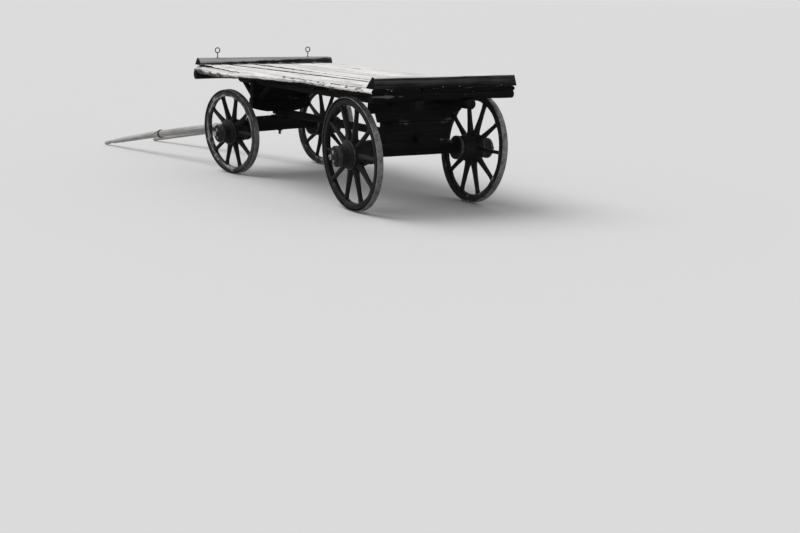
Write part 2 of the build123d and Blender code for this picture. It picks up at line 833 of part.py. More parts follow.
def build_bands(wheel, root_height):
    # Hub bands: seat radius, lower edge along the axle
    bands = [
        (hub_inner_radius, hub_inner_end + band_edge),
        (hub_belly_radius, root_height + hub_belly_half - band_width / 2),
    ]
    with BuildPart() as hub_bands:
        for seat_radius, low in bands:
            with BuildSketch(along(wheel, low)):
                RegularPolygon(seat_radius + seat + band_thickness, hub_sides)
                RegularPolygon(seat_radius + seat, hub_sides, mode=Mode.SUBTRACT)
            extrude(amount=band_width if seat_radius == hub_inner_radius else band_width / 2)
    return hub_bands.part


# Spokes, bevelled and tapering, from their hub sockets to flats on the felloes
def build_spokes(wheel, root_height, flat_radius):
    tip_depth = spoke_root_depth * spoke_tip_share
    tip_dip = tip_depth / 2 * sin(radians(spoke_dish))
    length = (flat_radius - seat - tip_dip - spoke_start) / cos(radians(spoke_dish))
    with BuildPart() as spokes:
        for turn in spoke_turns:
            root = around(wheel, turn, spoke_start, root_height, spoke_dish)
            rings = []
            for reach, share in ((0, 1), (length, spoke_tip_share)):
                sizes = (spoke_root_depth * share, spoke_root_width * share, spoke_bevel * share)
                rings.append(bevelled_ring(along(root, reach), *sizes))
            add(faceted(rings))
    return spokes.part


def build_felloes(wheel, inner, outer):
    span = 360 / felloe_count - degrees(felloe_joint / outer)
    with BuildPart() as felloes:
        for number in range(felloe_count):
            start = (number + 0.5) * 360 / felloe_count - span / 2
            turns = [radians(start + step * span / felloe_facets) for step in range(felloe_facets + 1)]
            with BuildSketch(along(wheel, -felloe_width / 2)):
                with BuildLine():
                    outer_edge = [(outer * cos(turn), outer * sin(turn)) for turn in turns]
                    inner_edge = [(inner * cos(turn), inner * sin(turn)) for turn in reversed(turns)]
                    Polyline(*outer_edge, *inner_edge, close=True)
                make_face()
            extrude(amount=felloe_width)
    return felloes.part


def build_tyre(wheel, inner, outer):
    with BuildPart() as tyre:
        with BuildSketch(along(wheel, -tyre_width / 2)):
            Circle(outer)
            Circle(inner, mode=Mode.SUBTRACT)
        extrude(amount=tyre_width)
    return tyre.part


for corner, carrier, axle_x, side, radius, centre_z in corners:
    wheel = wheel_plane(carrier, axle_x, side, centre_z)
    felloe_outer = radius - tyre_thickness - seat
    felloe_inner = felloe_outer - felloe_depth
    flat_radius = felloe_inner * cos(radians(180 / felloe_count / felloe_facets))
    root_height = -felloe_inner * sin(radians(spoke_dish))
    keep(build_hub(wheel, root_height), corner + "_hub")
    keep(build_bands(wheel, root_height), corner + "_hub_bands")
    keep(build_spokes(wheel, root_height, flat_radius), corner + "_spokes")
    keep(build_felloes(wheel, felloe_inner, felloe_outer), corner + "_felloes")
    keep(build_tyre(wheel, radius - tyre_thickness, radius), corner + "_tyre")

# Centre the wagon over its length and width, and write one file per piece
boxes = [piece.bounding_box() for piece in pieces.values()]
middle_x = (min(box.min.X for box in boxes) + max(box.max.X for box in boxes)) / 2
middle_y = (min(box.min.Y for box in boxes) + max(box.max.Y for box in boxes)) / 2
centring = Location((-middle_x, -middle_y, 0))
os.makedirs("parts", exist_ok=True)
for label, piece in pieces.items():
    placed = piece.moved(centring)
    placed.label = label
    export_step(placed, f"parts/{label}.step")

print("centred by", round(-middle_x, 4), round(-middle_y, 4))
print("gear turned", front_turn, "kingpin x", front_axle_x, "reach underside", reach_bottom)
for corner, carrier, axle_x, side, radius, centre_z in corners:
    wheel = wheel_plane(carrier, axle_x, side, centre_z)
    print(corner, [round(value, 4) for value in wheel.origin], [round(value, 6) for value in wheel.z_dir])
for side, name in ((1, "left_shaft"), (-1, "right_shaft")):
    carrier = shaft_plane(side)
    print(name, [round(value, 4) for value in carrier.origin], [round(value, 6) for value in carrier.y_dir])
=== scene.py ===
import json
import math
import random

import bpy
from mathutils import Matrix, Vector, noise


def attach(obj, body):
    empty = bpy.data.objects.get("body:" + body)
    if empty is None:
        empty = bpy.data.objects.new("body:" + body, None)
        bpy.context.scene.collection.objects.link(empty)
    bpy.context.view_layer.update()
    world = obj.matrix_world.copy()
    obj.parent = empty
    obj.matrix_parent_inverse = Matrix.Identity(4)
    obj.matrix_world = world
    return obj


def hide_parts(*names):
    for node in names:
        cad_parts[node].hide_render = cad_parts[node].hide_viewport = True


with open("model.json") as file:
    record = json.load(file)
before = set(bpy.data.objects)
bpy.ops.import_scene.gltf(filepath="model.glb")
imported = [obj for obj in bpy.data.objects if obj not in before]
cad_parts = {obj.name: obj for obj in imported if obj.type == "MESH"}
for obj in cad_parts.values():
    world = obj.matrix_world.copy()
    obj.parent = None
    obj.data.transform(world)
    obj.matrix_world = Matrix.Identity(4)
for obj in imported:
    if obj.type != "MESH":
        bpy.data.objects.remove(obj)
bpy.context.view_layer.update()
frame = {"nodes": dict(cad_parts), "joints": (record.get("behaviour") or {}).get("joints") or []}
joints = {joint["name"]: joint for joint in frame["joints"]}
chance = random.Random(23)

# Lengths are in metres. Local places are measured from the back of the deck (x), from the wagon's
# middle line (y, left is positive) and from the ground (z), as the frame has them.
wagon = {
    "kingpinReach": 3.1,
    "deckLength": 3.5,
    "halfWidthBack": 0.695,
    "halfWidthFront": 0.75,
    "deckTop": 1.057,
    "plankBack": 0.040,
    "plankFront": 0.062,
}
kingpin = Vector(joints["steering"]["pos_m"])
deckFrame = Matrix.Translation((kingpin.x - wagon["kingpinReach"], kingpin.y, 0))
leftAxis = Vector(joints["front_left_wheel"]["axis"])
gearTurn = math.atan2(-leftAxis.x, leftAxis.y)
gearFrame = Matrix.Translation((kingpin.x, kingpin.y, 0)) @ Matrix.Rotation(gearTurn, 4, "Z")
crosswise = Matrix.Rotation(math.pi / 2, 4, "Z")  # a member's length along the wagon's width


def wheelFrame(corner):
    centre = Vector(joints[corner + "_wheel"]["pos_m"])
    outward = Vector(joints[corner + "_wheel"]["axis"]).normalized()
    forward = Vector((outward.y, -outward.x, 0)).normalized() * math.copysign(1, outward.y)
    across = outward.cross(forward)
    turned = Matrix((forward, across, outward)).transposed().to_4x4()
    return Matrix.Translation(centre) @ turned


def mix(low, high, share):
    return low + (high - low) * share


def clipped(share):
    return min(max(share, 0), 1)


def undersideAt(x):
    share = x / wagon["deckLength"]
    return wagon["deckTop"] - mix(wagon["plankBack"], wagon["plankFront"], share)


def edgeLine(share):
    return mix(wagon["halfWidthBack"], wagon["halfWidthFront"], share)


# Modelling helpers
def clearSelection():
    if bpy.context.object and bpy.context.object.mode != "OBJECT":
        bpy.ops.object.mode_set(mode="OBJECT")
    bpy.ops.object.select_all(action="DESELECT")


def work(piece):
    clearSelection()
    piece.select_set(True)
    bpy.context.view_layer.objects.active = piece


def editAll(piece, action="SELECT"):
    work(piece)
    bpy.ops.object.mode_set(mode="EDIT")
    bpy.ops.mesh.select_all(action=action)


def setValues(piece, name, values, kind="FLOAT"):
    mesh = piece.data
    if name in mesh.attributes:
        mesh.attributes.remove(mesh.attributes[name])
    layer = mesh.attributes.new(name, kind, "POINT")
    field = "vector" if kind == "FLOAT_VECTOR" else "value"
    flat = [part for value in values for part in value] if kind == "FLOAT_VECTOR" else values
    layer.data.foreach_set(field, flat)


def grained(piece, places, edge=None):
    # The grain vector is the place along the wood and the two places across it
    setValues(piece, "grain", places, "FLOAT_VECTOR")
    setValues(piece, "tone", [chance.uniform(0, 1)] * len(places))
    setValues(piece, "edge", edge or [0.0] * len(places))
    return piece


def grainAlong(piece, order="XYZ", edge=None):
    start = chance.uniform(0, 40)
    picks = ["XYZ".index(letter) for letter in order]
    places = [(v.co[picks[0]] + start, v.co[picks[1]], v.co[picks[2]]) for v in piece.data.vertices]
    return grained(piece, places, edge)


def grainAround(piece, bend, order="XYZ", spread=40):
    # The grain runs round a ring: bend is its mean radius, and the last axis in order is its own
    start = chance.uniform(0, spread)
    picks = ["XYZ".index(letter) for letter in order]
    places = []
    for vertex in piece.data.vertices:
        first, second, across = (vertex.co[pick] for pick in picks)
        places.append((math.atan2(second, first) * bend + start, math.hypot(first, second), across))
    return grained(piece, places)


def roundSection(radius, sides=20, across=0.0, up=0.0, top=None, bottom=None, squash=1.0):
    points = []
    for number in range(sides):
        turn = 2 * math.pi * number / sides
        height = up + radius * squash * math.sin(turn)
        if top is not None:
            height = min(height, top)
        if bottom is not None:
            height = max(height, bottom)
        points.append((across + radius * math.cos(turn), height))
    return points


def boxSection(halfWidth, bottom, top, bevel=0.004, across=0.0):
    left = across + halfWidth
    right = across - halfWidth
    return [
        (left, bottom + bevel), (left, top - bevel), (left - bevel, top), (right + bevel, top),
        (right, top - bevel), (right, bottom + bevel), (right + bevel, bottom), (left - bevel, bottom),
    ]


def shavedSection(halfWidth, halfDepth, roundness, sides=16, across=0.0, up=0.0):
    # Roundness 1 is an oval, and towards 0 it is a rectangle with worn corners
    points = []
    for number in range(sides):
        turn = 2 * math.pi * (number + 0.5) / sides
        wide = math.copysign(abs(math.cos(turn)) ** roundness, math.cos(turn))
        deep = math.copysign(abs(math.sin(turn)) ** roundness, math.sin(turn))
        points.append((across + halfWidth * wide, up + halfDepth * deep))
    return points


def softened(profile, width):
    # Each corner of a section gives way to two, a little way along its edges
    points = []
    for number, corner in enumerate(profile):
        here = Vector(corner)
        for other in (profile[number - 1], profile[(number + 1) % len(profile)]):
            along = Vector(other) - here
            points.append(tuple(here + along.normalized() * min(width, along.length / 3)))
    return points


def sectionAt(rows, station):
    for low, high in zip(rows, rows[1:]):
        if station <= high[0] or high is rows[-1]:
            share = clipped((station - low[0]) / (high[0] - low[0]))
            return [
                (mix(a[0], b[0], share), mix(a[1], b[1], share)) for a, b in zip(low[1], high[1])
            ]


def addMember(name, rows, cuts, perEdge=1, sharp=True):
    # A member runs along x through its rows: (place along it, section's corners as (y, z))
    corners = len(rows[0][1])
    count = corners * perEdge
    clearSelection()
    bpy.ops.mesh.primitive_cylinder_add(vertices=count, radius=1, depth=1, end_fill_type="TRIFAN")
    member = bpy.context.object
    member.name = name
    editAll(member, "DESELECT")
    bpy.ops.mesh.select_mode(type="EDGE")
    bpy.ops.object.mode_set(mode="OBJECT")
    for edge in member.data.edges:
        low, high = (member.data.vertices[index].co for index in edge.vertices)
        edge.select = abs(low.z - high.z) > 0.5
    bpy.ops.object.mode_set(mode="EDIT")
    bpy.ops.mesh.subdivide(number_cuts=cuts)
    bpy.ops.object.mode_set(mode="OBJECT")
    first, last = rows[0][0], rows[-1][0]
    wear = []
    for vertex in member.data.vertices:
        station = mix(first, last, vertex.co.z + 0.5)
        section = sectionAt(rows, station)
        if math.hypot(vertex.co.x, vertex.co.y) < 0.1:
            y = sum(point[0] for point in section) / corners
            z = sum(point[1] for point in section) / corners
            wear.append(0.0)
        else:
            turn = math.atan2(vertex.co.y, vertex.co.x) / (2 * math.pi)
            number = round(turn * count) % count
            here = section[number // perEdge]
            after = section[(number // perEdge + 1) % corners]
            share = (number % perEdge) / perEdge
            y = mix(here[0], after[0], share)
            z = mix(here[1], after[1], share)
            wear.append(1.0 if sharp and number % perEdge == 0 else 0.0)
        vertex.co = (station, y, z)
    return grainAlong(member, "XYZ", wear)


def addTurned(name, rows, sides, closed=True):
    # A turned piece stands on z through its rows: (height, radius); closed joins the last to the first
    clearSelection()
    bpy.ops.mesh.primitive_circle_add(
        vertices=sides, radius=rows[0][1], location=(0, 0, rows[0][0]), fill_type="NOTHING"
    )
    turned = bpy.context.object
    turned.name = name
    bpy.ops.object.transform_apply(location=True, rotation=False, scale=False)
    editAll(turned)
    for low, high in zip(rows, rows[1:]):
        bpy.ops.mesh.extrude_edges_move(TRANSFORM_OT_translate={"value": (0, 0, high[0] - low[0])})
        size = high[1] / low[1]
        bpy.ops.transform.resize(value=(size, size, 1), center_override=(0, 0, high[0]))
    bpy.ops.mesh.select_all(action="SELECT")
    if closed:
        bpy.ops.mesh.remove_doubles(threshold=0.00001)
    else:
        bpy.ops.mesh.fill_holes(sides=0)
    bpy.ops.object.mode_set(mode="OBJECT")
    return turned


def placed(piece, matrix):
    piece.data.transform(matrix)
    return piece


def lumpy(piece, amount, along=2.0, across=14.0):
    # Small uneven swells that follow the grain, moved along the normals
    shift = Vector((chance.uniform(0, 50), chance.uniform(0, 50), chance.uniform(0, 50)))
    grain = piece.data.attributes["grain"].data
    normals = [vertex.normal.copy() for vertex in piece.data.vertices]
    for vertex, normal, place in zip(piece.data.vertices, normals, grain):
        x, y, z = place.vector
        swell = noise.noise(Vector((x * along, y * across, z * across)) + shift)
        vertex.co += normal * swell * amount
    return piece


def facingOut(piece):
    editAll(piece)
    bpy.ops.mesh.normals_make_consistent(inside=False)
    bpy.ops.object.mode_set(mode="OBJECT")
    return piece


def sawnFaces(piece, material, axis, steepness=0.8):
    # The faces that look along one axis get one more material
    piece.data.materials.append(material)
    for face in piece.data.polygons:
        if abs(face.normal["XYZ".index(axis)]) > steepness:
            face.material_index = len(piece.data.materials) - 1
    return piece


def ring(name, low, high, inner, outer, sides, softness=0.0012):
    rows = [
        (low, inner), (low, outer - softness), (low + softness, outer), (high - softness, outer),
        (high, outer - softness), (high, inner), (low, inner),
    ]
    return addTurned(name, rows, sides)


def addLoop(majorRadius, minorRadius, turn, majorSegments, minorSegments):
    clearSelection()
    bpy.ops.mesh.primitive_torus_add(
        major_segments=majorSegments, minor_segments=minorSegments, major_radius=majorRadius,
        minor_radius=minorRadius, rotation=turn,
    )
    loop = bpy.context.object
    bpy.ops.object.transform_apply(location=False, rotation=True, scale=False)
    return loop


def roughEnds(piece, amount, atEnd=0.0005, least=0.0008):
    # Saw-cut ends are never quite flat or square
    grain = piece.data.attributes["grain"].data
    stations = [place.vector[0] for place in grain]
    low, high = min(stations), max(stations)
    slant = chance.uniform(-1, 1)
    for vertex, place in zip(piece.data.vertices, grain):
        x, y, z = place.vector
        if high - x < atEnd or x - low < atEnd:
            way = 1 if x - low < atEnd else -1
            depth = 0.5 + 0.5 * noise.noise(Vector((x, y * 25, z * 25))) + slant * z
            vertex.co.x += way * (least + amount * abs(depth))
    return piece


def addHead(size, thickness, sides, place, root=0.004, tip=0.0004):
    # A nail or bolt head: a low faceted dome standing on z
    rows = [(-root, size), (thickness * 0.5, size), (thickness, size * 0.6), (thickness, tip)]
    head = addTurned("head", rows, sides, closed=False)
    grainAlong(head)
    return placed(head, place)


def joined(name, parts):
    clearSelection()
    for part in parts:
        part.select_set(True)
    bpy.context.view_layer.objects.active = parts[0]
    if len(parts) > 1:
        bpy.ops.object.join()
    piece = bpy.context.object
    piece.name = name
    piece.data.name = name
    return piece


def dressed(piece, material):
    piece.data.materials.clear()
    piece.data.materials.append(material)
    return piece


def finished(piece, body, nodes, smooth=35, weld=True):
    editAll(piece)
    if weld:
        bpy.ops.mesh.remove_doubles(threshold=0.00002)
    bpy.ops.mesh.normals_make_consistent(inside=False)
    bpy.ops.object.mode_set(mode="OBJECT")
    bpy.ops.object.shade_smooth_by_angle(angle=math.radians(smooth))
    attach(piece, body)
    if nodes:
        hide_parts(*nodes)
    return piece


# Material helpers
def startMaterial(name):
    material = bpy.data.materials.new(name)
    material.use_nodes = True
    return material, material.node_tree, material.node_tree.nodes["Principled BSDF"]


def addNode(tree, kind, inputs, **settings):
    node = tree.nodes.new(kind)
    for key, value in settings.items():
        setattr(node, key, value)
    for key, value in inputs.items():
        if isinstance(value, bpy.types.NodeSocket):
            tree.links.new(value, node.inputs[key])
        else:
            node.inputs[key].default_value = value
    return node


def attributeOf(tree, name, output="Fac"):
    return addNode(tree, "ShaderNodeAttribute", {}, attribute_name=name).outputs[output]


def stretched(tree, source, scale):
    return addNode(tree, "ShaderNodeMapping", {"Vector": source, "Scale": scale}).outputs[0]


def noiseOf(tree, source, scale=1.0, detail=4.0, roughness=0.6, distortion=0.0):
    inputs = {
        "Vector": source, "Scale": scale, "Detail": detail, "Roughness": roughness,
        "Distortion": distortion,
    }
    return addNode(tree, "ShaderNodeTexNoise", inputs).outputs["Fac"]


def ranged(tree, source, low, high, toLow=0.0, toHigh=1.0):
    inputs = {"Value": source, "From Min": low, "From Max": high, "To Min": toLow, "To Max": toHigh}
    return addNode(tree, "ShaderNodeMapRange", inputs, interpolation_type="SMOOTHSTEP").outputs[0]


def sumOf(tree, first, second):
    return addNode(tree, "ShaderNodeMath", {0: first, 1: second}, operation="ADD").outputs[0]


def productOf(tree, first, second):
    return addNode(tree, "ShaderNodeMath", {0: first, 1: second}, operation="MULTIPLY").outputs[0]


def grey(value, warmth=0.02):
    return (value * (1 + warmth), value, value * (1 - warmth), 1)


def blendColours(tree, share, first, second):
    node = addNode(tree, "ShaderNodeMix", {}, data_type="RGBA")
    for socket, value in ((node.inputs[0], share), (node.inputs[6], first), (node.inputs[7], second)):
        if isinstance(value, bpy.types.NodeSocket):
            tree.links.new(value, socket)
        else:
            socket.default_value = value
    return node.outputs[2]


def fibreShare(tree, look, fibre, streak, patch, tone):
    # Fibres, streaks and patches together say where the wood is light
    body = sumOf(tree, productOf(tree, fibre, 0.36), productOf(tree, streak, 0.50))
    body = sumOf(tree, body, productOf(tree, patch, 0.14))
    body = sumOf(tree, body, productOf(tree, sumOf(tree, tone, -0.5), look["toneSpread"]))
    return ranged(tree, body, 0.5 - look["contrast"], 0.5 + look["contrast"])


def bleachedAndSkylitColour(tree, look, streak, colour):
    # Faces that look up are paler, partly bleached by the weather and partly as painted sky light
    facing = addNode(tree, "ShaderNodeTexCoord", {}).outputs["Normal"]
    upward = addNode(tree, "ShaderNodeSeparateXYZ", {"Vector": facing}).outputs["Z"]
    bleachingAndSkylight = productOf(tree, ranged(tree, upward, 0.3, 0.75), look["bleachingAndSkylight"])
    paleShare = productOf(tree, bleachingAndSkylight, ranged(tree, streak, 0.25, 0.6))
    return blendColours(tree, paleShare, colour, grey(look["bleachedAndLitGrey"]))


def wornColour(tree, look, place, edge, tone, colour):
    # Worn patches, more of them along the edges; on the rear log the edge mask draws a painted highlight
    wornNoise = noiseOf(tree, place, scale=9, detail=4)
    wearing = sumOf(tree, wornNoise, productOf(tree, edge, look["edgeWear"]))
    wearing = sumOf(tree, wearing, productOf(tree, sumOf(tree, tone, -0.5), look["toneWear"]))
    worn = ranged(tree, wearing, look["wornFrom"], look["wornFrom"] + 0.12)
    return blendColours(tree, worn, colour, grey(look["worn"]))


def knotsOf(tree, look, grain):
    across = look["knots"] * 3.2
    knotPlace = stretched(tree, grain, (look["knots"], across, across))
    knot = addNode(tree, "ShaderNodeTexVoronoi", {"Vector": knotPlace, "Scale": 1.0})
    return ranged(tree, knot.outputs["Distance"], 0.13, 0.06)


def cracksOf(tree, grain):
    # Drying cracks along the grain, broken up so that they start and stop
    field = noiseOf(tree, stretched(tree, grain, (0.4, 24, 24)), detail=3, roughness=0.5)
    offLine = addNode(tree, "ShaderNodeMath", {0: sumOf(tree, field, -0.5)}, operation="ABSOLUTE")
    line = ranged(tree, offLine.outputs[0], 0.016, 0.005)
    where = ranged(tree, noiseOf(tree, stretched(tree, grain, (1.1, 9, 9)), detail=2), 0.52, 0.60)
    return productOf(tree, line, where)


def darkened(tree, mask, strength, colour, deep):
    return blendColours(tree, productOf(tree, mask, strength), colour, grey(deep))


def seamShadeAndBarkColour(tree, look, grain, edge, colour):
    # Painted shade and dirt along the seams between planks, and bark that holds on below a waney edge
    ragged = noiseOf(tree, stretched(tree, grain, (11, 45, 45)), detail=5, roughness=0.7)
    seam = sumOf(tree, edge, productOf(tree, sumOf(tree, ragged, -0.5), 1.9))
    return darkened(tree, ranged(tree, seam, 0.42, 0.66), look["seamShadeAndDirt"], colour, look["dark"] * 0.06)


def woodMaterial(name, look):
    material, tree, shader = startMaterial(name)
    grain = attributeOf(tree, "grain", "Vector")
    tone = attributeOf(tree, "tone")
    edge = attributeOf(tree, "edge")
    place = addNode(tree, "ShaderNodeTexCoord", {}).outputs["Object"]
    fibre = noiseOf(tree, stretched(tree, grain, (4, 160, 160)), detail=6, roughness=0.7)
    streak = noiseOf(tree, stretched(tree, grain, (0.7, 32, 32)), detail=5, distortion=0.3)
    patch = noiseOf(tree, place, scale=4.5, detail=5, roughness=0.65)
    share = fibreShare(tree, look, fibre, streak, patch, tone)
    colour = blendColours(tree, share, grey(look["dark"]), grey(look["light"]))
    # Upward faces are paler, partly weather bleaching and partly painted sky light
    colour = bleachedAndSkylitColour(tree, look, streak, colour)
    colour = wornColour(tree, look, place, edge, tone, colour)
    knotMask = knotsOf(tree, look, grain)
    colour = darkened(tree, knotMask, look["knotDark"], colour, look["dark"] * 0.5)
    crack = cracksOf(tree, grain)
    colour = darkened(tree, crack, look["crackDark"], colour, look["dark"] * 0.25)
    # Painted shade and dirt darken the wood beside the plank seams
    if look["seamShadeAndDirt"]:
        colour = seamShadeAndBarkColour(tree, look, grain, edge, colour)
    tree.links.new(colour, shader.inputs["Base Color"])

    height = sumOf(tree, productOf(tree, fibre, 0.45), productOf(tree, streak, 0.5))
    height = sumOf(tree, height, productOf(tree, crack, -1.2))
    height = sumOf(tree, height, productOf(tree, knotMask, 0.3))
    bump = addNode(tree, "ShaderNodeBump", {"Height": height, "Strength": look["bump"], "Distance": 0.004})
    tree.links.new(bump.outputs[0], shader.inputs["Normal"])
    rough = ranged(tree, share, 0, 1, look["roughness"] - 0.08, look["roughness"] + 0.05)
    tree.links.new(rough, shader.inputs["Roughness"])
    shader.inputs["Specular IOR Level"].default_value = look["shine"]
    return material


finishes = {
    "silverPlank": {
        "dark": 0.32, "light": 0.66, "worn": 0.74, "wornFrom": 0.66, "edgeWear": 0.0, "toneWear": 0.1,
        "contrast": 0.14, "toneSpread": 0.12, "knots": 1.1, "knotDark": 0.6, "crackDark": 0.75,
        "bump": 0.7, "roughness": 0.85, "shine": 0.25, "bleachedAndLitGrey": 0.5, "bleachingAndSkylight": 0.0, "seamShadeAndDirt": 0.95,
    },
    # Plank and rail ends, gap walls and plank undersides: near-black painted shade over the end grain's own
    # darker colour
    "endGrainAndShade": {
        "dark": 0.003, "light": 0.006, "worn": 0.05, "wornFrom": 0.82, "edgeWear": 0.1, "toneWear": 0.1,
        "contrast": 0.15, "toneSpread": 0.1, "knots": 3.0, "knotDark": 0.5, "crackDark": 0.9,
        "bump": 0.8, "roughness": 0.9, "shine": 0.06, "bleachedAndLitGrey": 0.3, "bleachingAndSkylight": 0.0, "seamShadeAndDirt": 0,
    },
    "railWood": {
        "dark": 0.003, "light": 0.045, "worn": 0.28, "wornFrom": 0.84, "edgeWear": 0.46, "toneWear": 0.0,
        "contrast": 0.08, "toneSpread": 0.05, "knots": 1.3, "knotDark": 0.6, "crackDark": 0.9,
        "bump": 0.8, "roughness": 0.82, "shine": 0.1, "bleachedAndLitGrey": 0.26, "bleachingAndSkylight": 0.9, "seamShadeAndDirt": 0,
    },
    # darkTimber is near black: partly the timbers' own dark-stained colour, partly painted shade under the
    # deck; its worn grey also draws the painted highlight on the rear log
    "darkTimber": {
        "dark": 0.003, "light": 0.012, "worn": 0.075, "wornFrom": 0.84, "edgeWear": 0.28, "toneWear": 0.0,
        "contrast": 0.13, "toneSpread": 0.08, "knots": 1.2, "knotDark": 0.6, "crackDark": 0.9,
        "bump": 0.8, "roughness": 0.8, "shine": 0.06, "bleachedAndLitGrey": 0.03, "bleachingAndSkylight": 0.5, "seamShadeAndDirt": 0,
    },
    "wheelWood": {
        "dark": 0.004, "light": 0.017, "worn": 0.12, "wornFrom": 0.76, "edgeWear": 0.3, "toneWear": 0.1,
        "contrast": 0.13, "toneSpread": 0.08, "knots": 1.6, "knotDark": 0.5, "crackDark": 0.9,
        "bump": 0.8, "roughness": 0.75, "shine": 0.15, "bleachedAndLitGrey": 0.05, "bleachingAndSkylight": 0.0, "seamShadeAndDirt": 0,
    },
    "felloeWood": {
        "dark": 0.004, "light": 0.040, "worn": 0.26, "wornFrom": 0.64, "edgeWear": 0.16, "toneWear": 0.2,
        "contrast": 0.12, "toneSpread": 0.24, "knots": 1.6, "knotDark": 0.5, "crackDark": 0.9,
        "bump": 0.9, "roughness": 0.75, "shine": 0.15, "bleachedAndLitGrey": 0.05, "bleachingAndSkylight": 0.0, "seamShadeAndDirt": 0,
    },
    "poleWood": {
        "dark": 0.14, "light": 0.38, "worn": 0.45, "wornFrom": 0.7, "edgeWear": 0.0, "toneWear": 0.1,
        "contrast": 0.16, "toneSpread": 0.08, "knots": 1.9, "knotDark": 0.8, "crackDark": 0.85,
        "bump": 0.8, "roughness": 0.8, "shine": 0.3, "bleachedAndLitGrey": 0.45, "bleachingAndSkylight": 0.3, "seamShadeAndDirt": 0,
    },
    "paleRail": {
        "dark": 0.003, "light": 0.050, "worn": 0.4, "wornFrom": 0.84, "edgeWear": 0.46, "toneWear": 0.0,
        "contrast": 0.08, "toneSpread": 0.05, "knots": 1.3, "knotDark": 0.6, "crackDark": 0.9,
        "bump": 0.8, "roughness": 0.82, "shine": 0.1, "bleachedAndLitGrey": 0.62, "bleachingAndSkylight": 1.0, "seamShadeAndDirt": 0,
    },
    "bark": {
        "dark": 0.004, "light": 0.03, "worn": 0.08, "wornFrom": 0.85, "edgeWear": 0.0, "toneWear": 0.1,
        "contrast": 0.2, "toneSpread": 0.2, "knots": 6.0, "knotDark": 0.3, "crackDark": 0.6,
        "bump": 1.0, "roughness": 0.95, "shine": 0.15, "bleachedAndLitGrey": 0.05, "bleachingAndSkylight": 0.0, "seamShadeAndDirt": 0,
    },
    "withy": {
        "dark": 0.03, "light": 0.10, "worn": 0.2, "wornFrom": 0.8, "edgeWear": 0.0, "toneWear": 0.1,
        "contrast": 0.2, "toneSpread": 0.05, "knots": 4.0, "knotDark": 0.6, "crackDark": 0.8,
        "bump": 0.8, "roughness": 0.8, "shine": 0.3, "bleachedAndLitGrey": 0.1, "bleachingAndSkylight": 0.0, "seamShadeAndDirt": 0,
    },
}


def ironMaterial(name, dark, light, roughness, tread=None):
    material, tree, shader = startMaterial(name)
    place = addNode(tree, "ShaderNodeTexCoord", {}).outputs["Object"]
    cloud = noiseOf(tree, place, scale=22, detail=6, roughness=0.7)
    pits = noiseOf(tree, place, scale=160, detail=4, roughness=0.75)
    mottle = sumOf(tree, productOf(tree, cloud, 0.7), productOf(tree, pits, 0.3))
    share = ranged(tree, mottle, 0.35, 0.65)
    colour = blendColours(tree, share, grey(dark, 0.05), grey(light, 0.03))
    rough = ranged(tree, cloud, 0.3, 0.7, roughness + 0.12, roughness - 0.08)
    if tread:
        # The tread is polished by the road, and its rounded edges are lighter still as a painted highlight
        edge = attributeOf(tree, "edge")
        polishAndHighlight = ranged(tree, sumOf(tree, edge, productOf(tree, cloud, 0.5)), 0.95, 1.25)
        polishedAndLitColour = blendColours(tree, share, grey(tread[0]), grey(tread[1]))
        colour = blendColours(tree, polishAndHighlight, colour, polishedAndLitColour)
        rough = sumOf(tree, rough, productOf(tree, polishAndHighlight, -0.18))
    tree.links.new(colour, shader.inputs["Base Color"])
    tree.links.new(rough, shader.inputs["Roughness"])
    bump = addNode(tree, "ShaderNodeBump", {"Height": pits, "Strength": 0.35, "Distance": 0.0015})
    tree.links.new(bump.outputs[0], shader.inputs["Normal"])
    shader.inputs["Metallic"].default_value = 0.75
    return material


woods = {name: woodMaterial(name, look) for name, look in finishes.items()}
darkIron = ironMaterial("darkIron", 0.02, 0.08, 0.55)
wornIron = ironMaterial("wornIron", 0.14, 0.40, 0.42)
# The tyre's tread colours carry the road's polish and a painted highlight on its rounded edges
tyreIron = ironMaterial("tyreIron", 0.02, 0.08, 0.55, tread=(0.07, 0.22))
print("materials made:", len(woods) + 3)

# Deck planks; joints, gaps and seam strengths are given at the rear and at the front end
planks = {
    "joints": [
        (0.575, 0.625), (0.400, 0.530), (0.225, 0.430), (0.140, 0.140), (-0.065, -0.060),
        (-0.270, -0.265), (-0.485, -0.480),
    ],
    "standBacks": [0.008, 0, 0.014, 0.004, 0.010, 0.006],
    "gaps": [
        (0.003, 0.010), (0.003, 0.003), (0.015, 0.013), (0.002, 0.015), (0.003, 0.003), (0.004, 0.007),
        (0.003, 0.004),
    ],
    "seamStrengths": [
        (0.2, 0.6), (0.1, 0.15), (1.5, 1.2), (0.0, 1.5), (0.1, 0.15), (0.3, 0.5), (0.1, 0.2),
    ],
    "nearArris": 0.003,
    "farArris": [(0.045, 0.0), (0.014, 0.004), (0.0, 0.008)],
    "hollowAt": (0.3, 0.5, 0.66),
    "hollow": 0.001,
    "seamWidth": 0.016,
    "cuts": 90,
    "endRoughness": 0.003,
    "railHousing": 0.003,
    "railFoot": 0.130,
    "nailLines": [1.3, 2.35],
    "nailInsets": (0.22, 0.76),
    "nailWander": (0.014, 0.05),
    "nailSize": 0.0045,
    "nailDome": 0.0015,
}
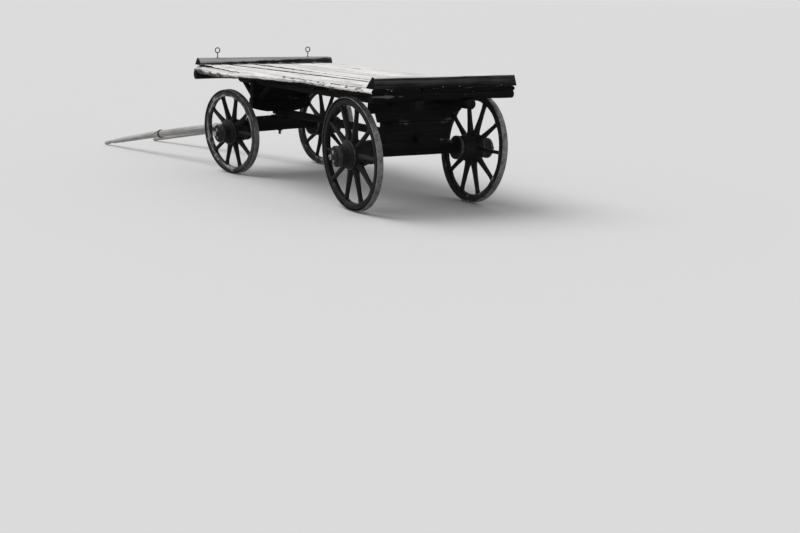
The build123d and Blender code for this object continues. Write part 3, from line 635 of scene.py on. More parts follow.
# Waney planks: share of the length; top edge, widest point and foot outside the edge line; drops
waneyEdges = {
    "left": [
        (0, -0.013, 0.009, 0.003, 0.022, 0.038), (0.17, -0.014, 0.012, 0.004, 0.024, 0.042),
        (0.34, -0.038, -0.010, -0.016, 0.020, 0.038), (0.61, -0.029, 0.015, 0.009, 0.030, 0.056),
        (0.83, -0.025, 0.035, 0.025, 0.046, 0.090), (1, -0.038, 0.020, 0.012, 0.042, 0.078),
    ],
    "right": [
        (0, -0.020, 0.002, -0.004, 0.020, 0.038), (0.3, -0.012, 0.014, 0.006, 0.024, 0.044),
        (0.66, -0.030, 0.006, -0.002, 0.026, 0.050), (1, -0.016, 0.010, 0.002, 0.030, 0.064),
    ],
    "footWidth": 0.060,
    "sawnInside": 0.050,
    "raggedness": 0.006,
    "raggedFrom": 0.045,
    "raggedOver": 0.030,
    "raggedBelow": 0.012,
    "barkFrom": 0.040,
    "bareTo": 2.2,
    "barkedOver": 0.4,
    "bareDown": 0.7,
    "darkArrisTo": 0.7,
    "arrisWidth": 0.002,
    "arrisDark": 0.8,
    "speckledFrom": 0.11,
    "speckledTo": 1.6,
    "speckled": 0.45,
}
# The drying split near the left plank's outer edge, and how the strip outside it has sunk
split = {
    "start": 2.15,
    "width": 0.016,
    "inset": 0.022,
    "beyond": 0.02,
    "wander": 0.004,
    "steps": 12,
    "drop": 0.014,
    "sinksOver": 0.5,
    "risesOver": 0.85,
    "frontShare": 0.45,
}
tufts = {
    "count": 80,
    "along": (0.2, 3.4),
    "inset": (0.002, 0.012),
    "up": (-0.004, 0.006),
    "length": (0.010, 0.055),
    "depths": [(0.003, 0.008), (0.004, 0.009)],
    "turn": 0.25,
}


def plankSection(left, right, bottom, top, strength):
    # The weather has rounded each plank's right arris much more than its left one
    near = planks["nearArris"]
    points = [(left, bottom + near), (left, top - near), (left - near, top)]
    points.append((left - planks["seamWidth"], top))
    points += [(mix(left, right, share), top - planks["hollow"]) for share in planks["hollowAt"]]
    points += [(right + inset, top - drop * strength) for inset, drop in planks["farArris"]]
    return points + [(right, bottom + near), (right + near, bottom), (left - near, bottom)]


def seamGap(number, share):
    return mix(*planks["gaps"][number], share)


def plankGrain(plank, edges, strengths):
    # The grain follows the plank's own edges, and the wood beside its seams is marked for painted shade and
    # dirt
    start = chance.uniform(0, 40)
    meanWidth = abs(sum(edges[0]) - sum(edges[1])) / 2
    grain = []
    marks = []
    for vertex in plank.data.vertices:
        share = vertex.co.x / wagon["deckLength"]
        left, right = (mix(low, high, share) for low, high in edges)
        grain.append((vertex.co.x + start, (vertex.co.y - right) / (left - right) * meanWidth, vertex.co.z))
        beside = [
            mix(*strength, share) * max(0.0, 1 - abs(vertex.co.y - edge) / planks["seamWidth"])
            for edge, strength in zip((left, right), strengths)
        ]
        marks.append(max(beside))
    setValues(plank, "grain", grain, "FLOAT_VECTOR")
    setValues(plank, "edge", marks)
    return plank


def underRails(piece):
    # The planks' top is let down under the rails
    for vertex in piece.data.vertices:
        x = vertex.co.x
        if x < planks["railFoot"] or x > wagon["deckLength"] - planks["railFoot"]:
            vertex.co.z = min(vertex.co.z, wagon["deckTop"] - planks["railHousing"])
    return piece


def nailPair(x, leftEdge, rightEdge):
    heads = []
    alongWander, acrossWander = planks["nailWander"]
    for inset in planks["nailInsets"]:
        y = mix(leftEdge, rightEdge, inset + chance.uniform(-acrossWander, acrossWander))
        nailX = x + chance.uniform(-alongWander, alongWander)
        spot = Matrix.Translation((nailX, y, wagon["deckTop"] - planks["hollow"]))
        head = addHead(planks["nailSize"], planks["nailDome"], 8, deckFrame @ spot)
        heads.append(dressed(head, darkIron))
    return heads


def buildInnerPlanks():
    parts = []
    nails = []
    for number, standBack in enumerate(planks["standBacks"]):
        left, right = planks["joints"][number : number + 2]
        strengths = planks["seamStrengths"][number : number + 2]
        length = wagon["deckLength"] - standBack
        rows = []
        for share in (0, 1):
            x = share * length
            leftEdge = mix(*left, share) - seamGap(number, share) / 2
            rightEdge = mix(*right, share) + seamGap(number + 1, share) / 2
            strength = mix(*strengths[1], share)
            section = plankSection(leftEdge, rightEdge, undersideAt(x), wagon["deckTop"], strength)
            rows.append((x, section))
        plank = plankGrain(addMember("plank", rows, planks["cuts"], 2), (left, right), strengths)
        lumpy(plank, 0.0025, 1.5, 7)
        underRails(roughEnds(plank, planks["endRoughness"]))
        dressed(plank, woods["silverPlank"])
        # The plank's ends and the walls of its gaps get near-black painted shade
        for axis in "XY":
            sawnFaces(plank, woods["endGrainAndShade"], axis)
        parts.append(placed(plank, deckFrame))
        for x in planks["nailLines"]:
            nails += nailPair(x, mix(*left, x / length), mix(*right, x / length))
    finished(joined("innerPlanks", parts), "wagon", ["deck_planks"], 40)
    finished(joined("deckNails", nails), "wagon", [], 40)


def waneyRows(side, name, number):
    rows = []
    for share, top, widest, foot, drop, depth in waneyEdges[name]:
        x = share * wagon["deckLength"]
        line = edgeLine(share)
        inner = side * mix(*planks["joints"][number], share) + seamGap(number, share) / 2
        section = [
            (side * inner, wagon["deckTop"]),
            (side * (line + top), wagon["deckTop"]),
            (side * (line + widest), wagon["deckTop"] - drop),
            (side * (line + foot), wagon["deckTop"] - depth),
            (side * (line + foot - waneyEdges["footWidth"]), undersideAt(x)),
            (side * inner, undersideAt(x)),
        ]
        rows.append((x, section))
    return rows


def raggedEdge(plank, side):
    # The outer edge is uneven, sideways all over and up and down below its arris
    shift = Vector((chance.uniform(0, 30), 3, 7))
    for vertex in plank.data.vertices:
        x, y, z = vertex.co
        outside = side * y - edgeLine(x / wagon["deckLength"]) + waneyEdges["raggedFrom"]
        if outside > 0:
            ragged = noise.noise(Vector((x * 14, z * 30, 0)) + shift)
            ragged += 0.5 * noise.noise(Vector((x * 45, z * 60, 5)) + shift)
            share = min(outside / waneyEdges["raggedOver"], 1) * waneyEdges["raggedness"]
            vertex.co.y += side * ragged * share
            if z < wagon["deckTop"] - waneyEdges["raggedBelow"]:
                vertex.co.z += ragged * share


def darkWaneyFaces(plank, side, steepness=0.8, downward=-0.6):
    # The sawn joint, the walls of the split and the underside get near-black painted shade
    for face in plank.data.polygons:
        outside = side * face.center.y - edgeLine(face.center.x / wagon["deckLength"])
        inSplit = side > 0 and abs(outside + splitMiddle()) < split["width"]
        sawn = abs(face.normal.y) > steepness and (outside < -waneyEdges["sawnInside"] or inSplit)
        if sawn or face.normal.z < downward:
            face.material_index = 1


def buildWaneyPlank(side, name, number, node):
    plank = addMember(name + "Plank", waneyRows(side, name, number), 150, 5)
    if side > 0:
        splitPlank(plank)
    edges = [(side * wagon["halfWidthBack"], side * wagon["halfWidthFront"]), planks["joints"][number]]
    plankGrain(plank, edges, ((0, 0), planks["seamStrengths"][number]))
    markWaneyPlank(plank, side, name)
    if side > 0:
        sinkStrip(plank)
    lumpy(plank, 0.003, 1.6, 8)
    raggedEdge(plank, side)
    underRails(roughEnds(plank, planks["endRoughness"]))
    dressed(plank, woods["silverPlank"])
    # The plank's ends get near-black painted shade
    sawnFaces(plank, woods["endGrainAndShade"], "X")
    darkWaneyFaces(plank, side)
    finished(placed(plank, deckFrame), "wagon", [node], 38)


def splitMiddle():
    return split["inset"] + split["width"] / 2


def markWaneyPlank(plank, side, name):
    # The bark's share grows towards the foot, and the left plank is almost bare towards its rear end,
    # where a dark line runs along its top arris
    table = [(row[0], [(row[4], row[5]), (row[1], 0)]) for row in waneyEdges[name]]
    marks = []
    seams = [mark.value for mark in plank.data.attributes["edge"].data]
    for vertex, seam in zip(plank.data.vertices, seams):
        x, y, z = vertex.co
        share = x / wagon["deckLength"]
        (drop, depth), (arris, _) = sectionAt(table, share)
        down = (wagon["deckTop"] - z - drop) / (depth - drop)
        outside = side * y - edgeLine(share)
        barked = clipped((x - waneyEdges["bareTo"]) / waneyEdges["barkedOver"]) if side > 0 else 1
        start = mix(waneyEdges["bareDown"], -1, barked)
        bark = clipped((down - start) / (1 - start)) if outside > -waneyEdges["barkFrom"] else 0.0
        if side > 0 and x < waneyEdges["speckledTo"]:
            if x < waneyEdges["darkArrisTo"] and abs(outside - arris) < waneyEdges["arrisWidth"]:
                bark = waneyEdges["arrisDark"]
            elif outside > arris and x > waneyEdges["speckledFrom"]:
                bark = max(bark, waneyEdges["speckled"])
        marks.append(max(seam, bark))
    setValues(plank, "edge", marks)


def sinkStrip(plank):
    # The strip outside the split has sunk, and rises a little again towards the front end
    for vertex in plank.data.vertices:
        past = vertex.co.x - split["start"]
        outside = vertex.co.y - edgeLine(vertex.co.x / wagon["deckLength"])
        if past > 0 and outside > -splitMiddle():
            sunk = min(past / split["sinksOver"], 1)
            raised = mix(1, split["frontShare"], max(0, past - split["sinksOver"]) / split["risesOver"])
            vertex.co.z -= split["drop"] * sunk * sunk * (3 - 2 * sunk) * raised


def splitPlank(plank):
    # A long drying split opens towards the front end of the left plank
    line = edgeLine(1) - split["inset"]
    end = wagon["deckLength"] + split["beyond"]
    low, high = wagon["deckTop"] - 0.2, wagon["deckTop"] + 0.1  # well past the plank on both sides
    rows = []
    for step in range(split["steps"] + 1):
        share = step / split["steps"]
        x = mix(split["start"], end, share)
        wander = split["wander"] * noise.noise(Vector((x * 5, 0.3, 9)))
        half = 0.0006 + split["width"] / 2 * share
        middle = line - split["width"] / 2 + wander
        rows.append((x, boxSection(half, low, high, 0.0002, middle)))
    wedge = addMember("splitShape", rows, 24)
    for shape in (wedge, plank):
        facingOut(shape)
    work(plank)
    cutter = plank.modifiers.new("split", "BOOLEAN")
    cutter.operation = "DIFFERENCE"
    cutter.solver = "EXACT"
    cutter.object = wedge
    bpy.ops.object.modifier_apply(modifier=cutter.name)
    clearSelection()
    wedge.select_set(True)
    bpy.ops.object.delete()


def buildBarkTufts():
    # Ragged scraps of bark still hold on below the left plank's edge
    feet = [(row[0], [(row[3], row[5])]) for row in waneyEdges["left"]]
    backDepth, frontDepth = tufts["depths"]
    scraps = []
    for _ in range(tufts["count"]):
        x = chance.uniform(*tufts["along"])
        share = x / wagon["deckLength"]
        foot, depth = sectionAt(feet, share)[0]
        y = edgeLine(share) + foot - chance.uniform(*tufts["inset"])
        z = wagon["deckTop"] - depth + chance.uniform(*tufts["up"])
        length = chance.uniform(*tufts["length"])
        rows = [
            (-length, shavedSection(0.0015, 0.002, 1, 8)),
            (-length * 0.2, shavedSection(0.004, chance.uniform(*backDepth), 1, 8)),
            (length * 0.4, shavedSection(0.003, chance.uniform(*frontDepth), 1, 8, 0, -0.003)),
            (length, shavedSection(0.001, 0.0015, 1, 8, 0, -0.002)),
        ]
        scrap = lumpy(addMember("scrap", rows, 7, 1, False), 0.003, 40, 60)
        turn = Matrix.Rotation(chance.uniform(-tufts["turn"], tufts["turn"]), 4, "Y")
        spot = deckFrame @ Matrix.Translation((x, y, z)) @ turn
        scraps.append(dressed(placed(scrap, spot), woods["bark"]))
    finished(joined("barkScraps", scraps), "wagon", [], 60)


buildInnerPlanks()
buildWaneyPlank(1, "left", 0, "left_edge_plank")
buildWaneyPlank(-1, "right", -1, "right_edge_plank")
buildBarkTufts()
print("deck planks laid")

# Rails across the deck ends
rails = {
    "foot": 0.130,
    "crest": 0.038,
    "lip": 0.012,
    "overhang": 0.006,
    "rearHeight": 0.085,
    "crestRise": 0.010,
    "rearEnds": {-1: 0.714, 1: 0.680},
    "rearRises": [(-1, 0.006), (1, 0)],
    "rearLean": {-1: 0.030, 1: 0.0},
    "frontHeight": 0.062,
    "frontBevels": [(-1, 0.97), (1, 0.30)],
    "frontLean": {-1: 0.014, 1: 0.022},
    "crestShare": 0.4,
    "softness": 0.004,
    "endRoughness": 0.004,
    "faceDepth": 0.001,
    "bareFoot": 0.020,
    # Height over which the rear rail's foot is painted darker as painted shade
    "shadedFoot": 0.050,
    "tones": (-0.9, 0.7),
    "rearNails": [(0.03, 0.005), (-0.13, 0.007), (-0.55, 0.006), (0.52, -0.017)],
    "nailSize": 0.0045,
    "nailDome": 0.004,
    "nailProud": 0.0015,
}


def leaned(rail, ends, base, top, lean):
    # The ends are sawn so that the rail is a little longer below than above
    for vertex in rail.data.vertices:
        end = math.copysign(1, vertex.co.x)
        share = abs(vertex.co.x) / ends[end] * (vertex.co.z - base) / (top - base)
        vertex.co.x -= end * share * lean[end]
    return rail


def finishRail(rail, wood, node):
    lumpy(roughEnds(rail, rails["endRoughness"]), 0.003, 2, 12)
    # The rail's ends get near-black painted shade
    sawnFaces(dressed(placed(rail, deckFrame @ crosswise), wood), woods["endGrainAndShade"], "Y")
    finished(rail, "wagon", [node], 35)


def buildRearRail():
    base = wagon["deckTop"] - planks["railHousing"]
    top = wagon["deckTop"] + rails["rearHeight"]
    crestTop = top + rails["crestRise"]
    ends = rails["rearEnds"]
    rows = []
    for side, rise in rails["rearRises"]:
        profile = [
            (0, base), (0, top + rise), (-rails["crest"], crestTop + rise * rails["crestShare"]),
            (-rails["foot"] + rails["lip"], wagon["deckTop"] + rails["lip"]),
            (-rails["foot"], wagon["deckTop"]), (-rails["foot"], base),
        ]
        rows.append((side * ends[side], softened(profile, rails["softness"])))
    rear = addMember("rearRail", rows, 70, 3)
    # Its outer face isn't worn at the edges, and the rail is painted darker towards its foot as painted
    # shade
    data = rear.data.attributes
    for vertex, edge, tone in zip(rear.data.vertices, data["edge"].data, data["tone"].data):
        tone.value = mix(*rails["tones"], min((vertex.co.z - base) / rails["shadedFoot"], 1))
        if vertex.co.y > -rails["faceDepth"] or vertex.co.z < base + rails["bareFoot"]:
            edge.value = 0.0
    leaned(rear, ends, base, crestTop, rails["rearLean"])
    finishRail(rear, woods["paleRail"], "rear_rail")


def buildFrontRail():
    base = wagon["deckTop"] - planks["railHousing"]
    top = wagon["deckTop"] + rails["frontHeight"]
    end = wagon["deckLength"]
    half = wagon["halfWidthFront"] + rails["overhang"]
    rows = []
    for side, share in rails["frontBevels"]:
        knee = wagon["deckTop"] + rails["frontHeight"] * share
        section = [
            (-end, base), (-end, top), (-end + rails["crest"], top), (-end + rails["foot"], knee),
            (-end + rails["foot"], base),
        ]
        rows.append((side * half, softened(section, rails["softness"])))
    front = addMember("frontRail", rows, 70, 3)
    leaned(front, {-1: half, 1: half}, base, top, rails["frontLean"])
    finishRail(front, woods["railWood"], "front_rail")


def buildRailNails():
    backward = Matrix.Rotation(-math.pi / 2, 4, "Y")
    heads = []
    for y, up in rails["rearNails"]:
        spot = Matrix.Translation((-rails["nailProud"], y, wagon["deckTop"] + up))
        head = addHead(rails["nailSize"], rails["nailDome"], 6, deckFrame @ spot @ backward)
        heads.append(dressed(head, wornIron))
    finished(joined("railNails", heads), "wagon", [], 30)


eyes = {
    "spread": 0.515,
    "height": 0.106,
    "outer": 0.030,
    "hole": 0.019,
    "thickness": 0.009,
    "setIn": 0.0002,
    "stem": 0.004,
}


def buildEyeBolts():
    parts = []
    railTop = wagon["deckTop"] + rails["frontHeight"]
    x = wagon["deckLength"] - rails["crest"] / 2
    centre = railTop + eyes["height"] - eyes["outer"]
    for side in (1, -1):
        middle = (eyes["outer"] + eyes["hole"]) / 2
        thick = (eyes["outer"] - eyes["hole"]) / 2 - eyes["setIn"]
        loop = addLoop(middle, thick, (0, math.pi / 2, 0), 40, 12)
        editAll(loop)
        squash = eyes["thickness"] / (eyes["outer"] - eyes["hole"])
        bpy.ops.transform.resize(value=(squash, 1, 1), center_override=(0, 0, 0))
        bpy.ops.object.mode_set(mode="OBJECT")
        grainAlong(loop)
        spot = Matrix.Translation((x, side * eyes["spread"], centre))
        parts.append(dressed(placed(loop, deckFrame @ spot), darkIron))
        low, high = -0.06, centre - railTop - eyes["outer"] + 0.004
        rows = [
            (low, 0.0005), (low, eyes["stem"]), (0, eyes["stem"]), (0, 0.013), (0.003, 0.013),
            (0.004, 0.005), (high - 0.01, 0.0048), (high, 0.0058), (high, 0.0005),
        ]
        stem = grainAlong(addTurned("eyeStem", rows, 16, closed=False))
        spot = Matrix.Translation((x, side * eyes["spread"], railTop + 0.0005))
        parts.append(dressed(placed(stem, deckFrame @ spot), darkIron))
    finished(joined("eyeBolts", parts), "wagon", ["eye_bolts"], 50)


buildRearRail()
buildFrontRail()
buildRailNails()
buildEyeBolts()
print("rails and eye bolts set")

# Logs and bearers under the deck
underDeck = {
    "rearLog": {"x": 0.038, "radius": 0.035, "half": 0.691},
    "frontLog": {"x": 3.45, "radius": 0.044, "half": 0.775},
    "middleLogs": {"places": planks["nailLines"], "radius": 0.034, "half": 0.560},
    "flat": 0.004,
    "clearance": 0.0003,
    # Where the painted highlight on the rear log's shoulder faces, how wide it spreads and how strong it is
    "highlightTurn": 0.30,
    "highlightSpread": 0.55,
    "highlightShares": (0.45, 0.25, 0.4),
    "highlightStrength": 2.2,
    "rearLogTone": -0.6,
    "bearerRadius": 0.044,
    "bearerSpread": 0.250,
    "bearerTop": 0.953,
    "bearerEnds": (-0.008, 3.474),
}


def buildLog(name, x, radius, half):
    top = undersideAt(x)
    height = top + underDeck["flat"] - radius
    section = roundSection(radius, 28, -x, height, top=top - underDeck["clearance"])
    log = addMember(name, [(-half, section), (half, section)], 60, 1, False)
    # The rear log gets a painted highlight along its outer shoulder
    if name == "rearLog":
        paintShoulderHighlight(log, x, top - radius, half)
    roughEnds(lumpy(log, 0.0035, 5, 9), 0.004)
    return dressed(placed(log, deckFrame @ crosswise), woods["darkTimber"])


def paintShoulderHighlight(log, x, height, half):
    # A painted highlight, in the worn grey, runs along the rear log's outer shoulder and gets stronger
    # towards its left end, most of all between 0.45 and 0.55 m out
    middle, slope, leftPart = underDeck["highlightShares"]
    shoulderHighlight = []
    for vertex in log.data.vertices:
        turn = math.atan2(vertex.co.z - height, vertex.co.y + x)
        facing = max(0.0, 1 - abs(turn - underDeck["highlightTurn"]) / underDeck["highlightSpread"])
        along = middle + slope * vertex.co.x / half + leftPart * clipped(10 * vertex.co.x - 4.5)
        shoulderHighlight.append(underDeck["highlightStrength"] * facing * along)
    setValues(log, "edge", shoulderHighlight)
    setValues(log, "tone", [underDeck["rearLogTone"]] * len(shoulderHighlight))


def buildLogs():
    for name, node in (("rearLog", "rear_cross_log"), ("frontLog", "front_cross_log")):
        size = underDeck[name]
        log = buildLog(name, size["x"], size["radius"], size["half"])
        finished(log, "wagon", [node], 45)
    middle = underDeck["middleLogs"]
    logs = [buildLog("middleLog", x, middle["radius"], middle["half"]) for x in middle["places"]]
    finished(joined("middleLogs", logs), "wagon", ["middle_cross_logs"], 45)


def buildBearers():
    bearers = []
    low, high = underDeck["bearerEnds"]
    radius = underDeck["bearerRadius"]
    top = underDeck["bearerTop"]
    for side in (1, -1):
        across = side * underDeck["bearerSpread"]
        section = roundSection(radius, 28, across, top + underDeck["flat"] - radius, top=top)
        bearer = addMember("bearer", [(low, section), (high, section)], 90, 1, False)
        roughEnds(lumpy(bearer, 0.003, 4, 8), 0.004)
        bearers.append(dressed(placed(bearer, deckFrame), woods["darkTimber"]))
    finished(joined("longBearers", bearers), "wagon", ["bearers"], 45)


buildLogs()
buildBearers()
print("logs and bearers laid")

# Axles, bolsters, reach pole and braces
running = {
    "rearAxleX": 0.475,
    "beamHalf": 0.4154,
    "axleDepth": 0.096,
    "rearBeam": (0.449, 0.559),
    "frontBeam": (0.4067, 0.5527),
    "endBevel": 0.022,
    "armRoot": (-0.255, 0.0363),  # place along the arm and radius there
    "armTip": (0.208, 0.025),
    "tipDepth": 0.003,
    "tipWear": 1.8,
    "washer": (0.162, 0.167, 0.0275, 0.044),  # from, to, inner and outer radius
    "pinReach": 0.173,
    "pinHalf": (0.052, 0.008, 0.005),  # half length, half width, half thickness
    "reach": (0.345, 3.19, 0.039, 0.5605, 0.623),  # tail, nose, half width, bottom, top
    "reachSwell": 0.0015,
    "bolsterHalf": 0.322,
    "bolsterDepth": 0.088,
    "bolsterTop": 0.735,
    "frontBolster": (0.599, 0.637),  # underside in the middle and at the ends
    "bolsterKnee": (0.75, 0.62),  # share of the half length and of the fall
    # Risers: place along, and depth of the head, or 0 where the riser is full depth
    "rearRiser": [(-0.450, 0.086), (-0.372, 0.086), (-0.360, 0), (0.360, 0), (0.372, 0.086), (0.450, 0.086)],
    "frontRiser": [(-0.315, 0), (0.315, 0)],
    "riserDepth": 0.072,
    "riserTop": 0.9015,
    "braceFoot": 0.690,
    "braceHead": 0.913,
    "braceReach": 0.350,
    "braceSize": (0.023, 0.019),
}


def buildAxle(name, place, x, beam, corners, body, node):
    bottom, top = beam
    half = running["beamHalf"]
    bevel = running["endBevel"]
    depth = running["axleDepth"] / 2
    stations = [
        (half, bottom + bevel / 2, top - bevel), (half - bevel, bottom, top - bevel / 2),
        (half - 2 * bevel, bottom, top),
    ]
    rows = [(-y, boxSection(depth, low, high, 0.007, -x)) for y, low, high in stations]
    rows += [(y, boxSection(depth, low, high, 0.007, -x)) for y, low, high in reversed(stations)]
    beamPiece = addMember("axleBeam", rows, 74, 3)
    lumpy(beamPiece, 0.003, 3, 12)
    parts = [dressed(placed(beamPiece, place @ crosswise), woods["darkTimber"])]
    for corner in corners:
        (rootAt, rootRadius), (tipAt, tipRadius) = running["armRoot"], running["armTip"]
        rows = [
            (rootAt, 0.0005), (rootAt, rootRadius), (tipAt - 0.006, tipRadius + 0.0005),
            (tipAt - 0.001, tipRadius - 0.003), (tipAt, tipRadius - 0.008), (tipAt, 0.0005),
        ]
        arm = addTurned("axleArm", rows, 32, closed=False)
        tipFrom = tipAt - running["tipDepth"]
        rim = [running["tipWear"] if v.co.z > tipFrom else 0.0 for v in arm.data.vertices]
        grainAlong(arm, "ZXY", rim)
        parts.append(dressed(placed(arm, wheelFrame(corner)), woods["felloeWood"]))
    finished(joined(name, parts), body, [node], 38)


def buildLinchpins(name, corners, body, node):
    parts = []
    for corner in corners:
        low, high, inner, outer = running["washer"]
        washer = grainAlong(ring("washer", low, high, inner, outer, 28))
        parts.append(dressed(placed(washer, wheelFrame(corner)), darkIron))
        length, halfWidth, halfThick = running["pinHalf"]
        rows = [
            (-length, boxSection(halfWidth * 0.55, -halfThick * 0.6, halfThick * 0.6, 0.001)),
            (-length * 0.7, boxSection(halfWidth * 0.9, -halfThick * 0.9, halfThick * 0.9, 0.0012)),
            (length * 0.72, boxSection(halfWidth, -halfThick, halfThick, 0.0012)),
            (length * 0.8, boxSection(halfWidth * 1.5, -halfThick, halfThick, 0.0015)),
            (length, boxSection(halfWidth * 1.3, -halfThick * 0.9, halfThick * 0.9, 0.0015)),
        ]
        pin = addMember("linchpin", rows, 18)
        headUp = -1 if corner.endswith("left") else 1
        upright = Matrix.Rotation(headUp * math.pi / 2, 4, "Z")
        stand = Matrix.Translation((0, 0, running["pinReach"])) @ upright
        parts.append(dressed(placed(pin, wheelFrame(corner) @ stand), wornIron))
    finished(joined(name, parts), body, [node], 35)


def buildTimber(name, rows, cuts, place, node, perEdge=3, swell=0.003):
    timber = addMember(name, rows, cuts, perEdge)
    roughEnds(lumpy(timber, swell, 3, 12), 0.003)
    dressed(placed(timber, place), woods["darkTimber"])
    return finished(timber, "wagon", [node], 38)


def buildAxles():
    rear = (["rear_left", "rear_right"], "wagon")
    front = (["front_left", "front_right"], "front_gear")
    buildAxle("rearAxle", deckFrame, running["rearAxleX"], running["rearBeam"], *rear, "rear_axle")
    buildAxle("frontAxle", gearFrame, 0, running["frontBeam"], *front, "front_axle")
    buildLinchpins("rearLinchpins", *rear, "rear_linchpins")
    buildLinchpins("frontLinchpins", *front, "front_linchpins")


def buildReachPole():
    tail, nose, half, low, high = running["reach"]
    rows = [(x, boxSection(half, low, high, 0.010)) for x in (tail, nose)]
    buildTimber("reachPole", rows, 90, deckFrame, "reach_pole", swell=running["reachSwell"])


def buildBolsters(rearX, frontX):
    depth = running["bolsterDepth"] / 2
    end = running["bolsterHalf"]
    top = running["bolsterTop"]
    rows = [(y, boxSection(depth, running["rearBeam"][1], top, 0.008, -rearX)) for y in (-end, end)]
    buildTimber("rearBolster", rows, 50, deckFrame @ crosswise, "rear_bolster")
    low, rise = running["frontBolster"]
    kneeAt, fall = running["bolsterKnee"]
    knee = mix(rise, low, fall)
    shape = [(-end, rise), (-end * kneeAt, knee), (-end / 2, low), (end / 2, low)]
    shape += [(end * kneeAt, knee), (end, rise)]
    rows = [(y, boxSection(depth, bottom, top, 0.008, -frontX)) for y, bottom in shape]
    buildTimber("frontBolster", rows, 50, deckFrame @ crosswise, "front_bolster")


def buildRisers(rearX, frontX):
    depth = running["riserDepth"] / 2
    high = running["riserTop"]
    for name, x, node in (("rearRiser", rearX, "rear_riser"), ("frontRiser", frontX, "front_riser")):
        rows = []
        for y, head in running[name]:
            bottom = high - head if head else running["bolsterTop"]
            rows.append((y, boxSection(depth, bottom, high, 0.006, -x)))
        buildTimber(name, rows, 75, deckFrame @ crosswise, node)


def buildBraces(frontX):
    braces = []
    run, rise = running["braceReach"], running["braceHead"] - running["braceFoot"]
    halfWidth, halfDepth = running["braceSize"]
    slope = Matrix.Rotation(-math.atan2(rise, run), 4, "Y")
    for side in (1, -1):
        for turn in (0, math.pi):
            length = math.hypot(run, rise)
            rows = [(0.03, boxSection(halfWidth, -halfDepth, halfDepth, 0.006))]
            rows.append((length - 0.02, boxSection(halfWidth, -halfDepth, halfDepth, 0.006)))
            brace = lumpy(addMember("brace", rows, 24, 3), 0.003, 4, 12)
            foot = Matrix.Translation((frontX, side * underDeck["bearerSpread"], running["braceFoot"]))
            place = deckFrame @ foot @ Matrix.Rotation(turn, 4, "Z") @ slope
            braces.append(dressed(placed(brace, place), woods["darkTimber"]))
    finished(joined("bolsterBraces", braces), "wagon", ["bolster_braces"], 38)


buildAxles()
buildReachPole()
buildBolsters(running["rearAxleX"], wagon["kingpinReach"])
buildRisers(running["rearAxleX"], wagon["kingpinReach"])
buildBraces(wagon["kingpinReach"])
print("running gear set")

# Wheels
wheels = {
    "radii": {"rear": 0.480, "front": 0.420},
    "grainRadius": 0.45,
    "tyreWidth": 0.055,
    "tyreThickness": 0.009,
    "felloeDepth": 0.060,
    "felloeWidth": 0.052,
    "felloes": 5,
    "jointGap": 0.0012,
    "spokes": 10,
    "dish": math.radians(2.5),
    "spokeStart": 0.102,
    "hubEnds": (-0.195, 0.160),
    "hubRadii": {"inner": 0.098, "belly": 0.118, "waist": 0.088, "nose": 0.084},
    "boreRadii": (0.0365, 0.0300),
    "innerBand": (0.004, 0.028),  # from the hub's inner end
    "bellyBand": (0.046, 0.058),  # from the spokes' root
    "noseBand": (-0.030, -0.006),  # from the hub's nose
    "bandThickness": 0.005,
    "seat": 0.0003,
    "chamfer": (0.003, 0.008),  # beside each spoke, and what is gained between them
    # Tread marks: the road's polish on the face, and polish with a painted highlight on the rounded edges
    "treadPolishAndHighlight": (1.0, 1.6),
    "boltTurn": 0.07,
    "boltSize": 0.0085,
    "boltDome": 0.007,
    "boltRise": 0.0015,
    "felloeTone": {"front_left": 1.0, "rear_left": 0.0, "front_right": 0.5, "rear_right": 0.4},
}
# Spoke shape: share of its length, half width, half depth, roundness of its corners
spokeShape = [
    (0, 0.0230, 0.0290, 0.22), (0.08, 0.0230, 0.0290, 0.25), (0.2, 0.0205, 0.0255, 0.6),
    (0.5, 0.0175, 0.0215, 0.8), (0.85, 0.0152, 0.0192, 0.8), (0.95, 0.0165, 0.0195, 0.5),
    (1, 0.0165, 0.0195, 0.4),
]


def buildHub(rootHeight):
    low, high = wheels["hubEnds"]
    radii = wheels["hubRadii"]
    boreLow, boreHigh = wheels["boreRadii"]
    belly = radii["belly"]
    rows = [
        (low, boreLow), (low, radii["inner"] - 0.006), (low + 0.005, radii["inner"]),
        (low + 0.040, radii["inner"]), (low + 0.042, radii["inner"] - 0.0025),
        (low + 0.046, radii["inner"] - 0.0025), (low + 0.048, radii["inner"] + 0.001),
        (rootHeight - 0.058, belly - 0.002), (rootHeight - 0.054, belly), (rootHeight + 0.046, belly),
        (rootHeight + 0.058, belly), (rootHeight + 0.060, belly - 0.004),
        (rootHeight + 0.066, belly - 0.005), (rootHeight + 0.084, radii["waist"] + 0.001),
        (rootHeight + 0.092, radii["waist"] - 0.0015), (high - 0.034, radii["nose"] + 0.0005),
        (high - 0.006, radii["nose"]), (high - 0.001, radii["nose"] - 0.004), (high, radii["nose"] - 0.009),
        (high, boreHigh + 0.012), (high - 0.004, boreHigh + 0.010), (high - 0.006, boreHigh),
        (0, mix(boreLow, boreHigh, 0.55)), (low, boreLow),
    ]
    hub = grainAlong(addTurned("hub", rows, 48), "ZXY")
    rim = [
        0.7 if v.co.z > high - 0.008 and math.hypot(v.co.x, v.co.y) > boreHigh + 0.02 else 0.0
        for v in hub.data.vertices
    ]
    setValues(hub, "edge", rim)
    lumpy(hub, 0.0016, 6, 9)
    return dressed(hub, woods["wheelWood"])


